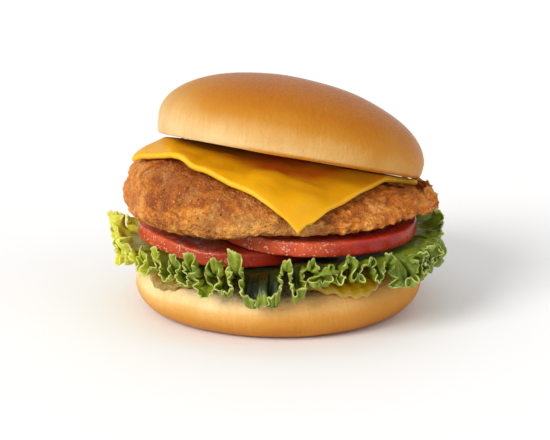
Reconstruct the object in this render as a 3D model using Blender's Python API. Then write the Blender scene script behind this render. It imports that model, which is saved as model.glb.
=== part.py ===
"""A chicken burger, built up in its layers from the table.

The heel of the bun carries pickle chips, two frilled lettuce leaves, two tomato slices, a breaded
chicken fillet and a slice of cheese. The crown leans back and to the right on top of them.

Everything is in metres. +X is to the right, +Y runs away from the open front and +Z is up. The
origin is the centre of the heel's flat base. Azimuths are in degrees, anticlockwise from +X, so
the open front is at 270.
"""

import math
import random

import bpy
import numpy as np
from mathutils import Vector, noise

GAP = 0.0004  # kept between neighbours, as the stack only rests together

# The heel, the lower half of the bun, carries the others.
HEEL_BASE_RADIUS = 0.0430
HEEL_WIDEST_RADIUS = 0.0535
HEEL_WIDEST_HEIGHT = 0.0095
HEEL_CUT_RADIUS = 0.0485
HEEL_HEIGHT = 0.0162
HEEL_SINK = 0.0003  # how far the middle of its cut face has sunk
HEEL_RISE_TO_RIGHT = 0.05  # share of its height that the right side is taller

# The crown, the upper half, measured in its own frame from its cut face.
CROWN_RADIUS = 0.0499
CROWN_CUT_RADIUS = 0.0485
CROWN_WIDEST_HEIGHT = 0.0056
CROWN_HEIGHT = 0.0290
CROWN_DOME_POWER = 2.04  # 2 is an ellipse, more is fuller at the shoulder
CROWN_LEAN = 0.0033  # how far its top sits to the left of its middle
CROWN_CENTRE = (0.0035, 0.0, 0.0556)
CROWN_TILT_RIGHT = math.radians(10.2)
CROWN_TILT_BACK = math.radians(11.6)

BUN_FLAT_RADIUS = 0.024  # of the middle of both cut faces and of the heel's base
BUN_COLUMNS = 48

# Pickle chips: crinkle cut, one shingle of two at the left and another at the right.
CHIP_RADIUS = 0.0170
CHIP_THICKNESS = 0.0020
CHIP_RIDGE_SPACING = 0.0048
CHIP_RIDGE_DEPTH = 0.00025
CHIP_DISTANCE = 0.0368  # from the burger's axis to a chip's centre
CHIP_DROOP_RADIUS = 0.0470  # where a chip starts to bend over the heel's shoulder
CHIP_DROOP = 0.0036  # how far it has bent down after CHIP_DROOP_RUN
CHIP_DROOP_RUN = 0.0070
CHIP_LAP_RUN = 0.0078  # in which a chip climbs onto the one that it laps over

# Lettuce: thin leaves, flat between the slices and frilled beyond them.
LEAF_THICKNESS = 0.0006
LEAF_FRONT_LEVEL = 0.0229
LEAF_BACK_LEVEL = 0.0237
LEAF_RAISE = 0.0054  # how much higher it lies where the upper slice lets it
LEAF_RAISED_BESIDE = (0.004, 0.014)  # distances past the lower slice where that starts and ends
LEAF_INNER_RADIUS = 0.008
LEAF_FLAT_RADIUS = 0.0480
LEAF_EDGE_RADIUS = 0.0605
LEAF_LEAST_FRILL = 0.0078  # the least distance from the tomato to the leaf's margin
LEAF_WAVE = 0.0165  # the mean width of a frill on the side away from the open front
LEAF_CURL_FROM = 0.72  # share of the way to the margin where a curled lobe is lowest
LEAF_ROWS = (0.001, 0.36, LEAF_CURL_FROM, 1.0)  # shares of the way to the margin
FRONT_FRILL_SAMPLES = 8
BACK_FRILL_SAMPLES = 6

# Tomato: two slices, the right one lying over the left one.
TOMATO_RADIUS = 0.0367
TOMATO_THICKNESS = 0.0055
TOMATO_ROUNDING = 0.0011
TOMATO_LEFT = (-0.0153, -0.0050)
TOMATO_RIGHT = (0.0140, -0.0120)
TOMATO_LEFT_UNDERSIDE = 0.0243
TOMATO_RIGHT_UNDERSIDE = TOMATO_LEFT_UNDERSIDE + TOMATO_THICKNESS + GAP
TOMATO_RISE = 0.0034  # how far the left end is held up by the pickles
TOMATO_RISE_FROM = 0.0230  # distance to the left where the rise starts
TOMATO_RISE_TO = 0.0480

# The fillet: a breaded breast piece, thick at the left and thin at the right.
FILLET_LENGTH = 0.1170
FILLET_WIDTH = 0.1000
FILLET_CENTRE = (0.0012, -0.0030)
FILLET_OUTLINE_POWER = 2.25  # 2 is an ellipse, more is fuller at the corners
FILLET_TAPER = 0.16  # how much slimmer it is at the right end
FILLET_UNDERSIDE = 0.0362
FILLET_SAG = 0.0028  # how far it sinks beside the tomato that it lies on
FILLET_WIDEST_SHARE = 0.42  # of its thickness
FILLET_TOPS = (  # (distance to the right, height of its top), before the crown presses it
    (-0.060, 0.0575),
    (-0.048, 0.0612),
    (-0.038, 0.0618),
    (-0.028, 0.0585),
    (-0.016, 0.0560),
    (0.000, 0.0550),
    (0.020, 0.0540),
    (0.040, 0.0520),
    (0.055, 0.0505),
    (0.062, 0.0490),
)
FILLET_FRONT_SLOPE = 0.22  # how steeply its right half falls towards the front
FILLET_FRONT_SLOPE_FROM = -0.012
CRUST_LUMPS = ((0.0110, 0.0024), (0.0050, 0.0012))  # (size, height) of its lumps and its crags
CRUST_DEEPEST = 0.0016
CRUST_HIGHEST = 0.0006

# Cheese: one square slice that drapes over the fillet, a corner hanging down in front.
CHEESE_SIDE = 0.0770
CHEESE_THICKNESS = 0.0022
CHEESE_LIFT = 0.0011  # its clearance over the crust
CHEESE_CENTRE = (-0.0008, -0.0085)
CHEESE_TURN = math.radians(53.8)
CHEESE_STEEPEST = math.radians(74)

# The lobes of the two leaves' margins, each the bottom of one fold of the frill:
# (azimuth, height that the lobe hangs to, height of the crest between it and the next lobe,
# fold in radians of the frill up to the next lobe, share of its drop that its lip curls up)
FRONT_LOBES = (
    (191, 0.0200, 0.0285, 1.45, 0.10),
    (198, 0.0205, 0.0305, 1.60, 0.20),
    (206, 0.0225, 0.0310, 1.65, 0.20),
    (214, 0.0232, 0.0315, 1.65, 0.25),
    (222, 0.0228, 0.0326, 1.70, 0.30),
    (230, 0.0205, 0.0318, 1.75, 0.45),
    (237, 0.0210, 0.0325, 1.75, 0.35),
    (244, 0.0172, 0.0328, 1.78, 0.10),
    (251.5, 0.0183, 0.0368, 1.85, 0.30),
    (260.5, 0.0150, 0.0170, 0.60, 0.50),
    (268.5, 0.0155, 0.0325, 1.80, 0.50),
    (276, 0.0178, 0.0320, 1.80, 0.30),
    (284, 0.0225, 0.0305, 1.70, 0.25),
    (290, 0.0232, 0.0320, 1.75, 0.30),
    (296.5, 0.0240, 0.0322, 1.70, 0.25),
    (303, 0.0235, 0.0328, 1.75, 0.15),
    (311, 0.0190, 0.0200, 0.60, 0.10),
    (316, 0.0187, 0.0315, 1.75, 0.20),
    (324, 0.0185, 0.0300, 1.70, 0.30),
    (332, 0.0188, 0.0285, 1.65, 0.30),
    (341, 0.0192, 0.0236, 1.50, 0.20),
    (351, 0.0205, 0.0205, 0, 0.10),
)
BACK_LOBES_AT_RIGHT = (
    (-17, 0.0280, 0.0335, 1.45, 0.10),
    (-7, 0.0255, 0.0345, 1.60, 0.30),
    (3, 0.0225, 0.0320, 1.65, 0.20),
)
BACK_LOBES_AT_LEFT = (
    (172, 0.0225, 0.0330, 1.65, 0.20),
    (181, 0.0250, 0.0360, 1.70, 0.30),
    (190, 0.0270, 0.0365, 1.60, 0.20),
    (199, 0.0285, 0.0285, 0, 0.10),
)
BACK_LOBE_HEIGHT = 0.0175
BACK_CREST_HEIGHT = 0.0300


def smooth(low, high, value):
    """0 below low, 1 above high, and an eased slope between them."""
    share = np.clip((np.asarray(value, float) - low) / (high - low), 0, 1)
    return share * share * (3 - 2 * share)


def rough(points, size):
    """Smooth noise from -1 to 1 at each point, with lumps of about this size."""
    flat = np.reshape(points, (-1, 3)) / size
    return np.array([noise.noise(Vector(p)) for p in flat]).reshape(np.shape(points)[:-1])


def add_piece(name, points, faces, colour, roughness):
    """Makes one named object with its own material from points and faces."""
    mesh = bpy.data.meshes.new(name)
    mesh.from_pydata([tuple(p) for p in np.reshape(points, (-1, 3))], [], faces)
    mesh.shade_smooth()
    piece = bpy.data.objects.new(name, mesh)
    bpy.context.scene.collection.objects.link(piece)
    material = bpy.data.materials.new(name)
    material.use_nodes = True
    shader = material.node_tree.nodes["Principled BSDF"]
    shader.inputs["Base Color"].default_value = (*colour, 1.0)
    shader.inputs["Roughness"].default_value = roughness
    shader.inputs["Metallic"].default_value = 0.0
    mesh.materials.append(material)
    return piece


def lofted(name, rings, low, high, colour, roughness):
    """A closed body from rings of points (ring, column, xyz), listed upwards, and two poles."""
    count, columns = rings.shape[:2]
    low_pole, high_pole = count * columns, count * columns + 1
    top = (count - 1) * columns
    faces = []
    for c in range(columns):
        n = (c + 1) % columns
        faces.append((low_pole, n, c))
        faces.append((high_pole, top + c, top + n))
        for r in range(count - 1):
            a, b = r * columns + c, r * columns + n
            faces.append((a, b, b + columns, a + columns))
    points = np.vstack([rings.reshape(-1, 3), [low], [high]])
    return add_piece(name, points, faces, colour, roughness)


def sheet(name, middle, thickness, colour, roughness):
    """A closed thin body round a grid of middle points, with both faces split alike."""
    rows, columns = middle.shape[:2]
    along, across = np.gradient(middle, axis=1), np.gradient(middle, axis=0)
    normal = np.cross(along, across)
    normal /= np.linalg.norm(normal, axis=2, keepdims=True)
    points = np.concatenate([middle + normal * thickness / 2, middle - normal * thickness / 2])
    under = rows * columns
    faces = []
    for r in range(rows - 1):
        for c in range(columns - 1):
            a = r * columns + c
            b, d, e = a + 1, a + columns, a + columns + 1
            faces += [(a, b, e), (a, e, d)]
            faces += [(under + a, under + e, under + b), (under + a, under + d, under + e)]
    border = (
        [(0, c) for c in range(columns - 1)]
        + [(r, columns - 1) for r in range(rows - 1)]
        + [(rows - 1, c) for c in range(columns - 1, 0, -1)]
        + [(r, 0) for r in range(rows - 1, 0, -1)]
    )
    edge = [r * columns + c for r, c in border]
    for here, there in zip(edge, edge[1:] + edge[:1]):
        faces += [(there, here, under + here), (there, under + here, under + there)]
    return add_piece(name, points, faces, colour, roughness)


def turns(columns):
    """Equal steps round a circle, in radians."""
    return np.arange(columns) * math.tau / columns


def ring(radii, height, columns):
    """One ring of points. radii is one radius, or one for each column."""
    turn = turns(columns)
    return np.stack([radii * np.cos(turn), radii * np.sin(turn), 0 * turn + height], axis=1)


def uneven(columns, share, *waves):
    """Radius factors round a hand-made round thing, from a few slow waves (count, phase)."""
    return 1 + share * sum(np.cos(n * turns(columns) + phase) / n**0.5 for n, phase in waves)


def quarter_arc(steps):
    """(sine, cosine) pairs of equal steps from 0 to a right angle."""
    return [(math.sin(a), math.cos(a)) for a in np.linspace(0, math.pi / 2, steps)]


def heel_side(steps):
    """(radius, height) pairs up the heel's side, from the base's edge to the cut face."""
    bulge = HEEL_WIDEST_RADIUS - HEEL_BASE_RADIUS
    shoulder = HEEL_WIDEST_RADIUS - HEEL_CUT_RADIUS
    rise = HEEL_HEIGHT - HEEL_WIDEST_HEIGHT
    lower = [
        (HEEL_BASE_RADIUS + bulge * sine, HEEL_WIDEST_HEIGHT * (1 - cosine))
        for sine, cosine in quarter_arc(steps)
    ]
    upper = [
        (HEEL_CUT_RADIUS + shoulder * cosine, HEEL_WIDEST_HEIGHT + rise * sine)
        for sine, cosine in quarter_arc(steps)[1:]
    ]
    return lower + upper


def heel_growth(x):
    """How much taller the heel is towards the right."""
    return 1 + HEEL_RISE_TO_RIGHT * x / HEEL_WIDEST_RADIUS


def heel():
    """The lower half of the bun, flat below and with a round side."""
    middle_height = HEEL_HEIGHT - HEEL_SINK
    profile = [(BUN_FLAT_RADIUS, 0.0), *heel_side(5), (BUN_FLAT_RADIUS, middle_height)]
    shape = uneven(BUN_COLUMNS, 0.006, (2, 0.4), (3, 1.9), (5, 0.7))
    rings = np.stack([ring(radius * shape, z, BUN_COLUMNS) for radius, z in profile])
    rings[..., 2] *= heel_growth(rings[..., 0])
    top = (0, 0, middle_height)
    lofted("bottom_bun", rings, (0, 0, 0), top, (0.72, 0.42, 0.16), 0.5)


def crown_profile(steps):
    """(radius, height) pairs from the cut face's edge, over the rim and up the dome."""
    bulge = CROWN_RADIUS - CROWN_CUT_RADIUS
    rise = CROWN_HEIGHT - CROWN_WIDEST_HEIGHT
    power = 2 / CROWN_DOME_POWER
    rim = [
        (CROWN_CUT_RADIUS + bulge * sine, CROWN_WIDEST_HEIGHT * (1 - cosine))
        for sine, cosine in quarter_arc(5)
    ]
    dome = [
        (CROWN_RADIUS * cosine**power, CROWN_WIDEST_HEIGHT + rise * sine**power)
        for sine, cosine in quarter_arc(steps + 1)[1:-1]
    ]
    return rim + dome


def crown():
    """The upper half of the bun, a low dome that leans back and to the right."""
    profile = [(BUN_FLAT_RADIUS, 0.0), *crown_profile(8)]
    shape = uneven(BUN_COLUMNS, 0.005, (2, 2.2), (3, 0.3), (4, 1.2))
    rings = np.stack([ring(radius * shape, z, BUN_COLUMNS) for radius, z in profile])
    share = (rings[..., 2] - CROWN_WIDEST_HEIGHT) / (CROWN_HEIGHT - CROWN_WIDEST_HEIGHT)
    rings[..., 0] -= CROWN_LEAN * np.maximum(share, 0)
    top = (-CROWN_LEAN, 0, CROWN_HEIGHT)
    piece = lofted("top_bun", rings, (0, 0, 0), top, (0.62, 0.27, 0.06), 0.35)
    piece.location = CROWN_CENTRE
    piece.rotation_euler = (-CROWN_TILT_BACK, CROWN_TILT_RIGHT, 0)


def crown_cut(x, y):
    """The height of the crown's cut face over a point of the table."""
    cx, cy, cz = CROWN_CENTRE
    fall_back = math.tan(CROWN_TILT_BACK) / math.cos(CROWN_TILT_RIGHT)
    return cz - math.tan(CROWN_TILT_RIGHT) * (x - cx) - fall_back * (y - cy)


def chip_bed(x, y):
    """The height that a chip on the heel lies at: level, then over the rounded shoulder."""
    past = (np.hypot(x, y) - CHIP_DROOP_RADIUS) / CHIP_DROOP_RUN
    droop = CHIP_DROOP * np.clip(past, 0, 1.3) ** 2.8
    return (HEEL_HEIGHT - droop) * heel_growth(x) + GAP


def chip_centre(azimuth):
    turn = math.radians(azimuth)
    return np.array([math.cos(turn), math.sin(turn)]) * CHIP_DISTANCE


def chip(name, azimuth, over=None):
    """A crinkle-cut chip that lies on the heel and bends over its shoulder.

    Its sections are cut through each ridge and each groove between two ridges. over is the
    azimuth of a chip that this one laps over."""
    centre = chip_centre(azimuth)
    outward = centre / CHIP_DISTANCE
    along = np.array([-outward[1], outward[0]])
    across = np.array([-0.95, -0.3, 0.35, 0.76, 0.95, 1, 0.95, 0.76, 0.35, -0.3, -0.95, -1])
    level = np.array([0, 0, 0, 0, 0, 0.5, 1, 1, 1, 1, 1, 0.5])  # from its underside to its top
    spacing = CHIP_RIDGE_SPACING / 2
    count = int(CHIP_RADIUS / spacing)
    rings = []
    for step in range(count, -count - 1, -1):
        u = step * spacing
        half = math.sqrt(CHIP_RADIUS**2 - u * u)
        flat = centre + along * u + outward * (across * half)[:, None]
        bed = chip_bed(flat[:, 0], flat[:, 1])
        if over is not None:
            away = np.linalg.norm(flat - chip_centre(over), axis=1) - CHIP_RADIUS - 3 * GAP
            lapped = 1 - smooth(0, CHIP_LAP_RUN, away)
            bed = bed + (CHIP_THICKNESS + 2 * CHIP_RIDGE_DEPTH + GAP) * lapped
        crinkle = CHIP_RIDGE_DEPTH * (1 + (-1) ** step)
        rings.append(np.column_stack([flat, bed + crinkle + CHIP_THICKNESS * level]))
    rings = np.array(rings)
    low, high = rings[0].mean(0), rings[-1].mean(0)
    lofted(name, rings, low, high, (0.42, 0.36, 0.05), 0.3)


def tomato(name, centre, underside, phase):
    """A slice that lies level and rises towards the left end."""
    columns = 42
    shape = uneven(columns, 0.008, (2, phase), (5, phase * 2), (3, phase * 3))
    thick, rounding = TOMATO_THICKNESS, TOMATO_ROUNDING
    lower_half = [
        (TOMATO_RADIUS * 0.3, 0),
        (TOMATO_RADIUS - rounding, 0),
        (TOMATO_RADIUS - rounding * 0.3, rounding * 0.8),
        (TOMATO_RADIUS, thick / 2),
    ]
    profile = lower_half + [(radius, thick - z) for radius, z in reversed(lower_half[:-1])]
    rings = np.stack([ring(radius * shape, z, columns) for radius, z in profile])
    rings[..., :2] += centre
    rise = TOMATO_RISE * smooth(TOMATO_RISE_FROM, TOMATO_RISE_TO, -rings[..., 0])
    rings[..., 2] += underside + rise
    low, high = (*centre, underside), (*centre, underside + thick)
    lofted(name, rings, low, high, (0.62, 0.05, 0.03), 0.25)


def fillet_reach(turn):
    """The fillet's outline from its centre: a long oval, slimmer towards the right."""
    right = np.cos(turn)
    half_width = FILLET_WIDTH / 2 * (1 - FILLET_TAPER * smooth(0.1, 1.0, right))
    spread = (np.abs(right) / (FILLET_LENGTH / 2)) ** FILLET_OUTLINE_POWER
    spread = spread + (np.abs(np.sin(turn)) / half_width) ** FILLET_OUTLINE_POWER
    return spread ** (-1 / FILLET_OUTLINE_POWER) * (1 + 0.012 * np.cos(3 * turn + 0.8))


def fillet_levels(x, y):
    """(underside, widest level, free top, pressed top) of the fillet over a point of the table."""
    beside = np.hypot(x - TOMATO_RIGHT[0], y - TOMATO_RIGHT[1]) - TOMATO_RADIUS
    under = FILLET_UNDERSIDE - FILLET_SAG * smooth(0.005, 0.013, beside)
    fall = FILLET_FRONT_SLOPE * np.clip(FILLET_FRONT_SLOPE_FROM - y, 0, 1)
    free = np.interp(x, *np.transpose(FILLET_TOPS)) - fall * smooth(-0.01, 0.02, x)
    past_rim = np.hypot(x - CROWN_CENTRE[0], y) - CROWN_RADIUS
    pressed = crown_cut(x, y) - CHEESE_THICKNESS - CHEESE_LIFT - 1.5 * GAP
    pressed = pressed + 2 * np.clip(past_rim, 0, 1)
    return under, under + FILLET_WIDEST_SHARE * (free - under), free, pressed


def fillet_crest(widest, free, pressed, rise):
    """The height of the upper side: a dome, flattened where the crown presses on it."""
    dome = widest + (free - widest) * rise
    return np.minimum(dome, pressed) - GAP * np.exp(-np.abs(dome - pressed) / 0.002)


def fillet_powers(turn, upper):
    """How square the fillet is in plan and in height: less is squarer, and 1 is an ellipse."""
    left = smooth(-0.4, 0.9, -np.cos(turn))
    right = smooth(0.6, 1.0, np.cos(turn))
    above = 0.74 - 0.24 * left - 0.04 * right
    below = 0.42 + 0.28 * right
    return np.where(upper, above, below), np.where(upper, above + 0.06, below + 0.10)


def fillet_point(turn, latitude):
    """The fillet's smooth surface, (..., xyz)."""
    upper = latitude > 0
    plan_power, rise_power = fillet_powers(turn, upper)
    reach = fillet_reach(turn) * np.cos(latitude) ** plan_power
    x = FILLET_CENTRE[0] + reach * np.cos(turn)
    y = FILLET_CENTRE[1] + reach * np.sin(turn)
    under, widest, free, pressed = fillet_levels(x, y)
    rise = np.abs(np.sin(latitude)) ** rise_power
    crest = fillet_crest(widest, free, pressed, rise)
    height = np.where(upper, crest, widest + (under - widest) * rise)
    return np.stack([x, y, height], axis=-1)


def fillet():
    """The breaded fillet, its crust in lumps and crags that are boldest round its side."""
    columns, rings = 60, 15
    latitude = np.linspace(-math.pi / 2, math.pi / 2, rings + 2)
    low, high = fillet_point(np.zeros(2), latitude[[0, -1]])
    latitude = latitude[1:-1]
    points = fillet_point(*np.meshgrid(turns(columns), latitude))
    outward = points - [*FILLET_CENTRE, (FILLET_UNDERSIDE + FILLET_TOPS[0][1]) / 2]
    outward[..., 2] *= 0.4
    outward /= np.linalg.norm(outward, axis=2, keepdims=True)
    crust = sum(height * rough(points, size) for size, height in CRUST_LUMPS)
    crust = np.clip(crust, -CRUST_DEEPEST, CRUST_HIGHEST) * np.cos(latitude)[:, None] ** 0.8
    points = points + outward * crust[..., None]
    lofted("chicken_fillet", points, low, high, (0.55, 0.24, 0.06), 0.7)


def fillet_cover(x, y, swell):
    """The height of the swollen fillet's upper side, and minus one beyond its outline."""
    dx, dy = x - FILLET_CENTRE[0], y - FILLET_CENTRE[1]
    turn = np.arctan2(dy, dx)
    share = np.hypot(dx, dy) / (fillet_reach(turn) + swell)
    plan_power, rise_power = fillet_powers(turn, True)
    across = np.clip(share, 0, 1) ** (1 / plan_power)
    _, widest, free, pressed = fillet_levels(x, y)
    rise = np.sqrt(1 - across**2) ** rise_power
    return np.where(share < 1, fillet_crest(widest, free + swell, pressed + swell, rise), -1.0)


def cheese_grid(count):
    """The middle of the draped slice, (row, column, xyz).

    Each point is reached by walking its flat distance out from the slice's centre, down over
    the fillet, and hanging steeply where the fillet's side falls away."""
    flat = np.linspace(-0.5, 0.5, count) * CHEESE_SIDE
    u, v = np.meshgrid(flat, flat)
    heading = np.arctan2(v, u) + CHEESE_TURN
    step_x, step_y = np.cos(heading), np.sin(heading)
    x, y = np.full(u.shape, CHEESE_CENTRE[0]), np.full(u.shape, CHEESE_CENTRE[1])
    swell = CHEESE_LIFT + CHEESE_THICKNESS / 2
    z = fillet_cover(x, y, swell)
    steps, ahead, steepest = 90, 0.0012, math.tan(CHEESE_STEEPEST)
    stride = np.hypot(u, v) / steps
    for _ in range(steps):
        here = np.minimum(fillet_cover(x, y, swell), z)
        there = fillet_cover(x + step_x * ahead, y + step_y * ahead, swell)
        slope = np.clip((there - here) / ahead, -steepest, steepest)
        slope = np.where(there > 0, slope, -steepest)
        run = stride / np.sqrt(1 + slope**2)
        x, y, z = x + step_x * run, y + step_y * run, z + slope * run
        z = np.maximum(z, fillet_cover(x, y, swell))
    return np.stack([x, y, z], axis=-1)


def cheese():
    """The square slice, with both faces split alike."""
    sheet("cheese_slice", cheese_grid(15), CHEESE_THICKNESS, (0.85, 0.42, 0.02), 0.35)


def slice_reach(centre, turn):
    """How far one tomato slice reaches from the burger's axis, in each direction."""
    along = centre[0] * np.cos(turn) + centre[1] * np.sin(turn)
    return along + np.sqrt(TOMATO_RADIUS**2 - centre[0] ** 2 - centre[1] ** 2 + along**2)


def lobes_of(seed, stations, samples):
    """A leaf's lobes from their stations, each with its own ripple and count of samples."""
    draw = random.Random(seed)
    return [
        {
            "turn": math.radians(azimuth),
            "height": height,
            "crest": crest,
            "fold": fold,
            "curl": curl,
            "samples": samples,
            "ripple": draw.uniform(0.08, 0.22) * draw.choice((-1, 1)),
            "ripples": draw.choice((2, 3)),
            "reach": draw.uniform(-0.0014, 0.0018),
            "lean": draw.uniform(-0.05, 0.12),
        }
        for azimuth, height, crest, fold, curl in stations
    ]


def back_stations(seed):
    """The back leaf's stations: the ones that show at its ends, and uneven ones between them."""
    draw = random.Random(seed)
    start, end = BACK_LOBES_AT_RIGHT[-1][0], BACK_LOBES_AT_LEFT[0][0]
    count = round(math.radians(end - start) * LEAF_EDGE_RADIUS / LEAF_WAVE)
    widths = np.array([draw.uniform(0.75, 1.3) for _ in range(count)])
    azimuths = start + (end - start) * np.cumsum(widths)[:-1] / widths.sum()
    hidden = [
        (
            azimuth,
            BACK_LOBE_HEIGHT + draw.uniform(-0.002, 0.002),
            BACK_CREST_HEIGHT + draw.uniform(-0.002, 0.002),
            draw.uniform(1.45, 1.75),
            draw.uniform(0.10, 0.35),
        )
        for azimuth in azimuths
    ]
    return (*BACK_LOBES_AT_RIGHT, *hidden, *BACK_LOBES_AT_LEFT)


def frill_line(lobe, share):
    """One frill at a share of the way to the margin: (along 0 to 1, rise in frill widths).

    The line turns one way and then the other, and bends back on itself where it folds most.
    Its points lie closest together at the lobes and crests, where it is most curved."""
    steps = lobe["samples"] * 16
    place = (np.arange(steps) + 0.5) / steps
    angle = lobe["fold"] * np.sin(math.tau * place)
    angle = angle + lobe["ripple"] * np.sin(math.tau * lobe["ripples"] * place)
    angle = angle * share**0.6
    along = np.concatenate([[0], np.cumsum(np.cos(angle))])
    rise = np.concatenate([[0], np.cumsum(np.sin(angle))])
    rise = (rise - rise[-1] * along / along[-1]) / along[-1]
    even = np.linspace(0, 1, lobe["samples"] + 1)
    crowded = even - 0.45 * np.sin(2 * math.tau * even) / (2 * math.tau)
    keep = np.round(crowded * steps).astype(int)
    return along[keep] / along[-1], rise[keep]


def blade_bend(share, curl):
    """(outward, away from its level): how far the blade has gone at a share of the way to its
    margin.

    It goes outward first, and then up or down. Where it curls, its lip comes back."""
    quarter = math.pi / 2
    out = math.sin(quarter * share) ** 0.85
    drop = (1 - math.cos(quarter * share)) ** 1.1
    lip = max(0.0, (share - LEAF_CURL_FROM) / (1 - LEAF_CURL_FROM)) ** 1.7
    curled_out = 0.82 * math.sin(quarter * min(share / 0.62, 1)) + 0.22 * lip
    curled_drop = math.sin(quarter * min(share / LEAF_CURL_FROM, 1)) ** 1.8 - curl * lip
    curled = np.clip(curl / 0.2, 0, 1)
    return out + (curled_out - out) * curled, drop + (curled_drop - drop) * curled


def leaf_frill(here, there, level, share):
    """One frill's points at a share of the way to the margin, from a lobe up to the next."""
    along, rise = frill_line(here, share)
    place = smooth(0, 1, along)
    span = there["turn"] - here["turn"]
    turn = here["turn"] + span * along
    margin = here["height"] + (there["height"] - here["height"]) * place
    tallest = here["crest"] - (here["height"] + there["height"]) / 2
    lift = rise / frill_line(here, 1.0)[1].max() * tallest * share**0.5
    reach_left = slice_reach(TOMATO_LEFT, turn)
    reach_right = slice_reach(TOMATO_RIGHT, turn)
    flat = np.maximum(LEAF_FLAT_RADIUS, np.maximum(reach_left, reach_right) + 2 * GAP)
    edge = np.maximum(LEAF_EDGE_RADIUS, flat + LEAF_LEAST_FRILL)
    base = level + LEAF_RAISE * smooth(*LEAF_RAISED_BESIDE, flat - reach_left)
    curl = here["curl"] + (there["curl"] - here["curl"]) * place
    curl = curl * (1 - smooth(0, 0.7, rise / max(rise.max(), 1e-9)))
    out, drop = np.array([blade_bend(share, c) for c in curl]).T
    reach = (here["reach"] * share**2 + here["lean"] * lift * share) * np.sin(math.pi * along)
    radius = flat + (edge - flat) * out + reach
    height = base + (margin - base) * drop + lift
    return np.stack([radius * np.cos(turn), radius * np.sin(turn), height], axis=1)


def leaf_grid(lobes, level):
    """The middle of a leaf, (row, column, xyz): its inner edge, the foot of its rise beside the
    lower slice, and then rows to the margin."""
    grid = []
    for share in LEAF_ROWS:
        frills = [leaf_frill(here, there, level, share) for here, there in zip(lobes, lobes[1:])]
        joined = [frill[:-1] for frill in frills[:-1]] + frills[-1:]
        grid.append(np.concatenate(joined))
    first = grid[0]
    reach = np.hypot(first[:, 0], first[:, 1])
    turn = np.arctan2(first[:, 1], first[:, 0])
    foot_reach = np.minimum(slice_reach(TOMATO_LEFT, turn) + 3 * GAP, reach - 5 * GAP)
    foot = first * (foot_reach / reach)[:, None]
    foot[:, 2] = level
    inner = first * (LEAF_INNER_RADIUS / LEAF_FLAT_RADIUS)
    inner[:, 2] = level
    return np.array([inner, foot, *grid])


def lettuce(name, seed, stations, samples, level):
    middle = leaf_grid(lobes_of(seed, stations, samples), level)
    sheet(name, middle, LEAF_THICKNESS, (0.20, 0.42, 0.05), 0.4)


def main():
    for thing in list(bpy.data.objects):
        bpy.data.objects.remove(thing)
    heel()
    chip("pickle_left_front", 216)
    chip("pickle_left", 173, over=216)
    chip("pickle_right_front", 303)
    chip("pickle_right", 344, over=303)
    lettuce("lettuce_front", 11, FRONT_LOBES, FRONT_FRILL_SAMPLES, LEAF_FRONT_LEVEL)
    lettuce("lettuce_back", 4, back_stations(4), BACK_FRILL_SAMPLES, LEAF_BACK_LEVEL)
    tomato("tomato_left", TOMATO_LEFT, TOMATO_LEFT_UNDERSIDE, 0.6)
    tomato("tomato_right", TOMATO_RIGHT, TOMATO_RIGHT_UNDERSIDE, 1.7)
    fillet()
    cheese()
    crown()


main()
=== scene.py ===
"""A chicken burger on a plain pale floor, dressed for a studio picture.

Its pieces follow in the order in which a burger is put together, from the heel of the bun up to
the crown. Everything is in metres, with +X to the right, +Y away from the open front and +Z up.
Azimuths are in degrees, anticlockwise from +X, so the open front is at 270.
"""

import math
import random

import bpy
import numpy as np
from mathutils import Euler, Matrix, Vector, noise


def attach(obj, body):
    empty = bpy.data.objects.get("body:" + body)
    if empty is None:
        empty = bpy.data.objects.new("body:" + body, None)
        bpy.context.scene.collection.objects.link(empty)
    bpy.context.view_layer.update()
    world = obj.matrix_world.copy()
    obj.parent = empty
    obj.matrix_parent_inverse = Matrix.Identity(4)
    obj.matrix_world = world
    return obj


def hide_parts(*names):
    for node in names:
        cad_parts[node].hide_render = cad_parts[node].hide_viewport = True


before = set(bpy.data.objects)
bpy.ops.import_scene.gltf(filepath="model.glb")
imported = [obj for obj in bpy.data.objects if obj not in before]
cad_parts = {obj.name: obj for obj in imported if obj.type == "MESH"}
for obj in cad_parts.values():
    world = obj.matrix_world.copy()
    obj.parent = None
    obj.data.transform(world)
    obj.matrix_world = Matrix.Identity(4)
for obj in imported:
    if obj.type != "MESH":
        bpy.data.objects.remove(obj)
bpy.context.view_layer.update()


# The heel is the lower half of a soft round bun of baked wheat dough, and the burger stands on it.
# Its crust is thin and golden, nearly white just under the cut edge, where the two halves rose
# together in the oven. The cut face is lightly toasted.
GAP = 0.0004
HEEL_BASE_RADIUS = 0.0430
HEEL_WIDEST_RADIUS = 0.0535
HEEL_WIDEST_HEIGHT = 0.0095
HEEL_CUT_RADIUS = 0.0485
HEEL_HEIGHT = 0.0162
HEEL_SINK = 0.0003
HEEL_RISE_TO_RIGHT = 0.05
BUN_FLAT_RADIUS = 0.024
BUN_COLUMNS = 320
HEEL_BROWNING = (  # (height, how baked its crust is); the darkest base is also a painted shadow line
    (0.0000, 1.00),
    (0.0012, 0.86),
    (0.0055, 0.66),
    (0.0090, 0.44),
    (0.0118, 0.16),
    (0.0165, 0.02),
)
HEEL_CRUST = (
    (0.00, (0.95, 0.72, 0.37)),
    (0.30, (0.76, 0.43, 0.135)),
    (0.60, (0.61, 0.275, 0.047)),
    (0.85, (0.50, 0.185, 0.018)),
    (1.00, (0.38, 0.120, 0.012)),
)
BAKED_MORE_FROM = -0.026  # the bun is darker at the right: browner crust and painted shade
BAKED_MORE_TO = 0.050
STREAK_LENGTH = 9  # times its width
CRUMB = ((0.30, (0.46, 0.20, 0.05)), (0.55, (0.80, 0.56, 0.28)), (0.80, (0.88, 0.72, 0.46)))


def smooth(low, high, value):
    """0 below low, 1 above high, and an eased slope between them."""
    share = np.clip((np.asarray(value, float) - low) / (high - low), 0, 1)
    return share * share * (3 - 2 * share)


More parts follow.
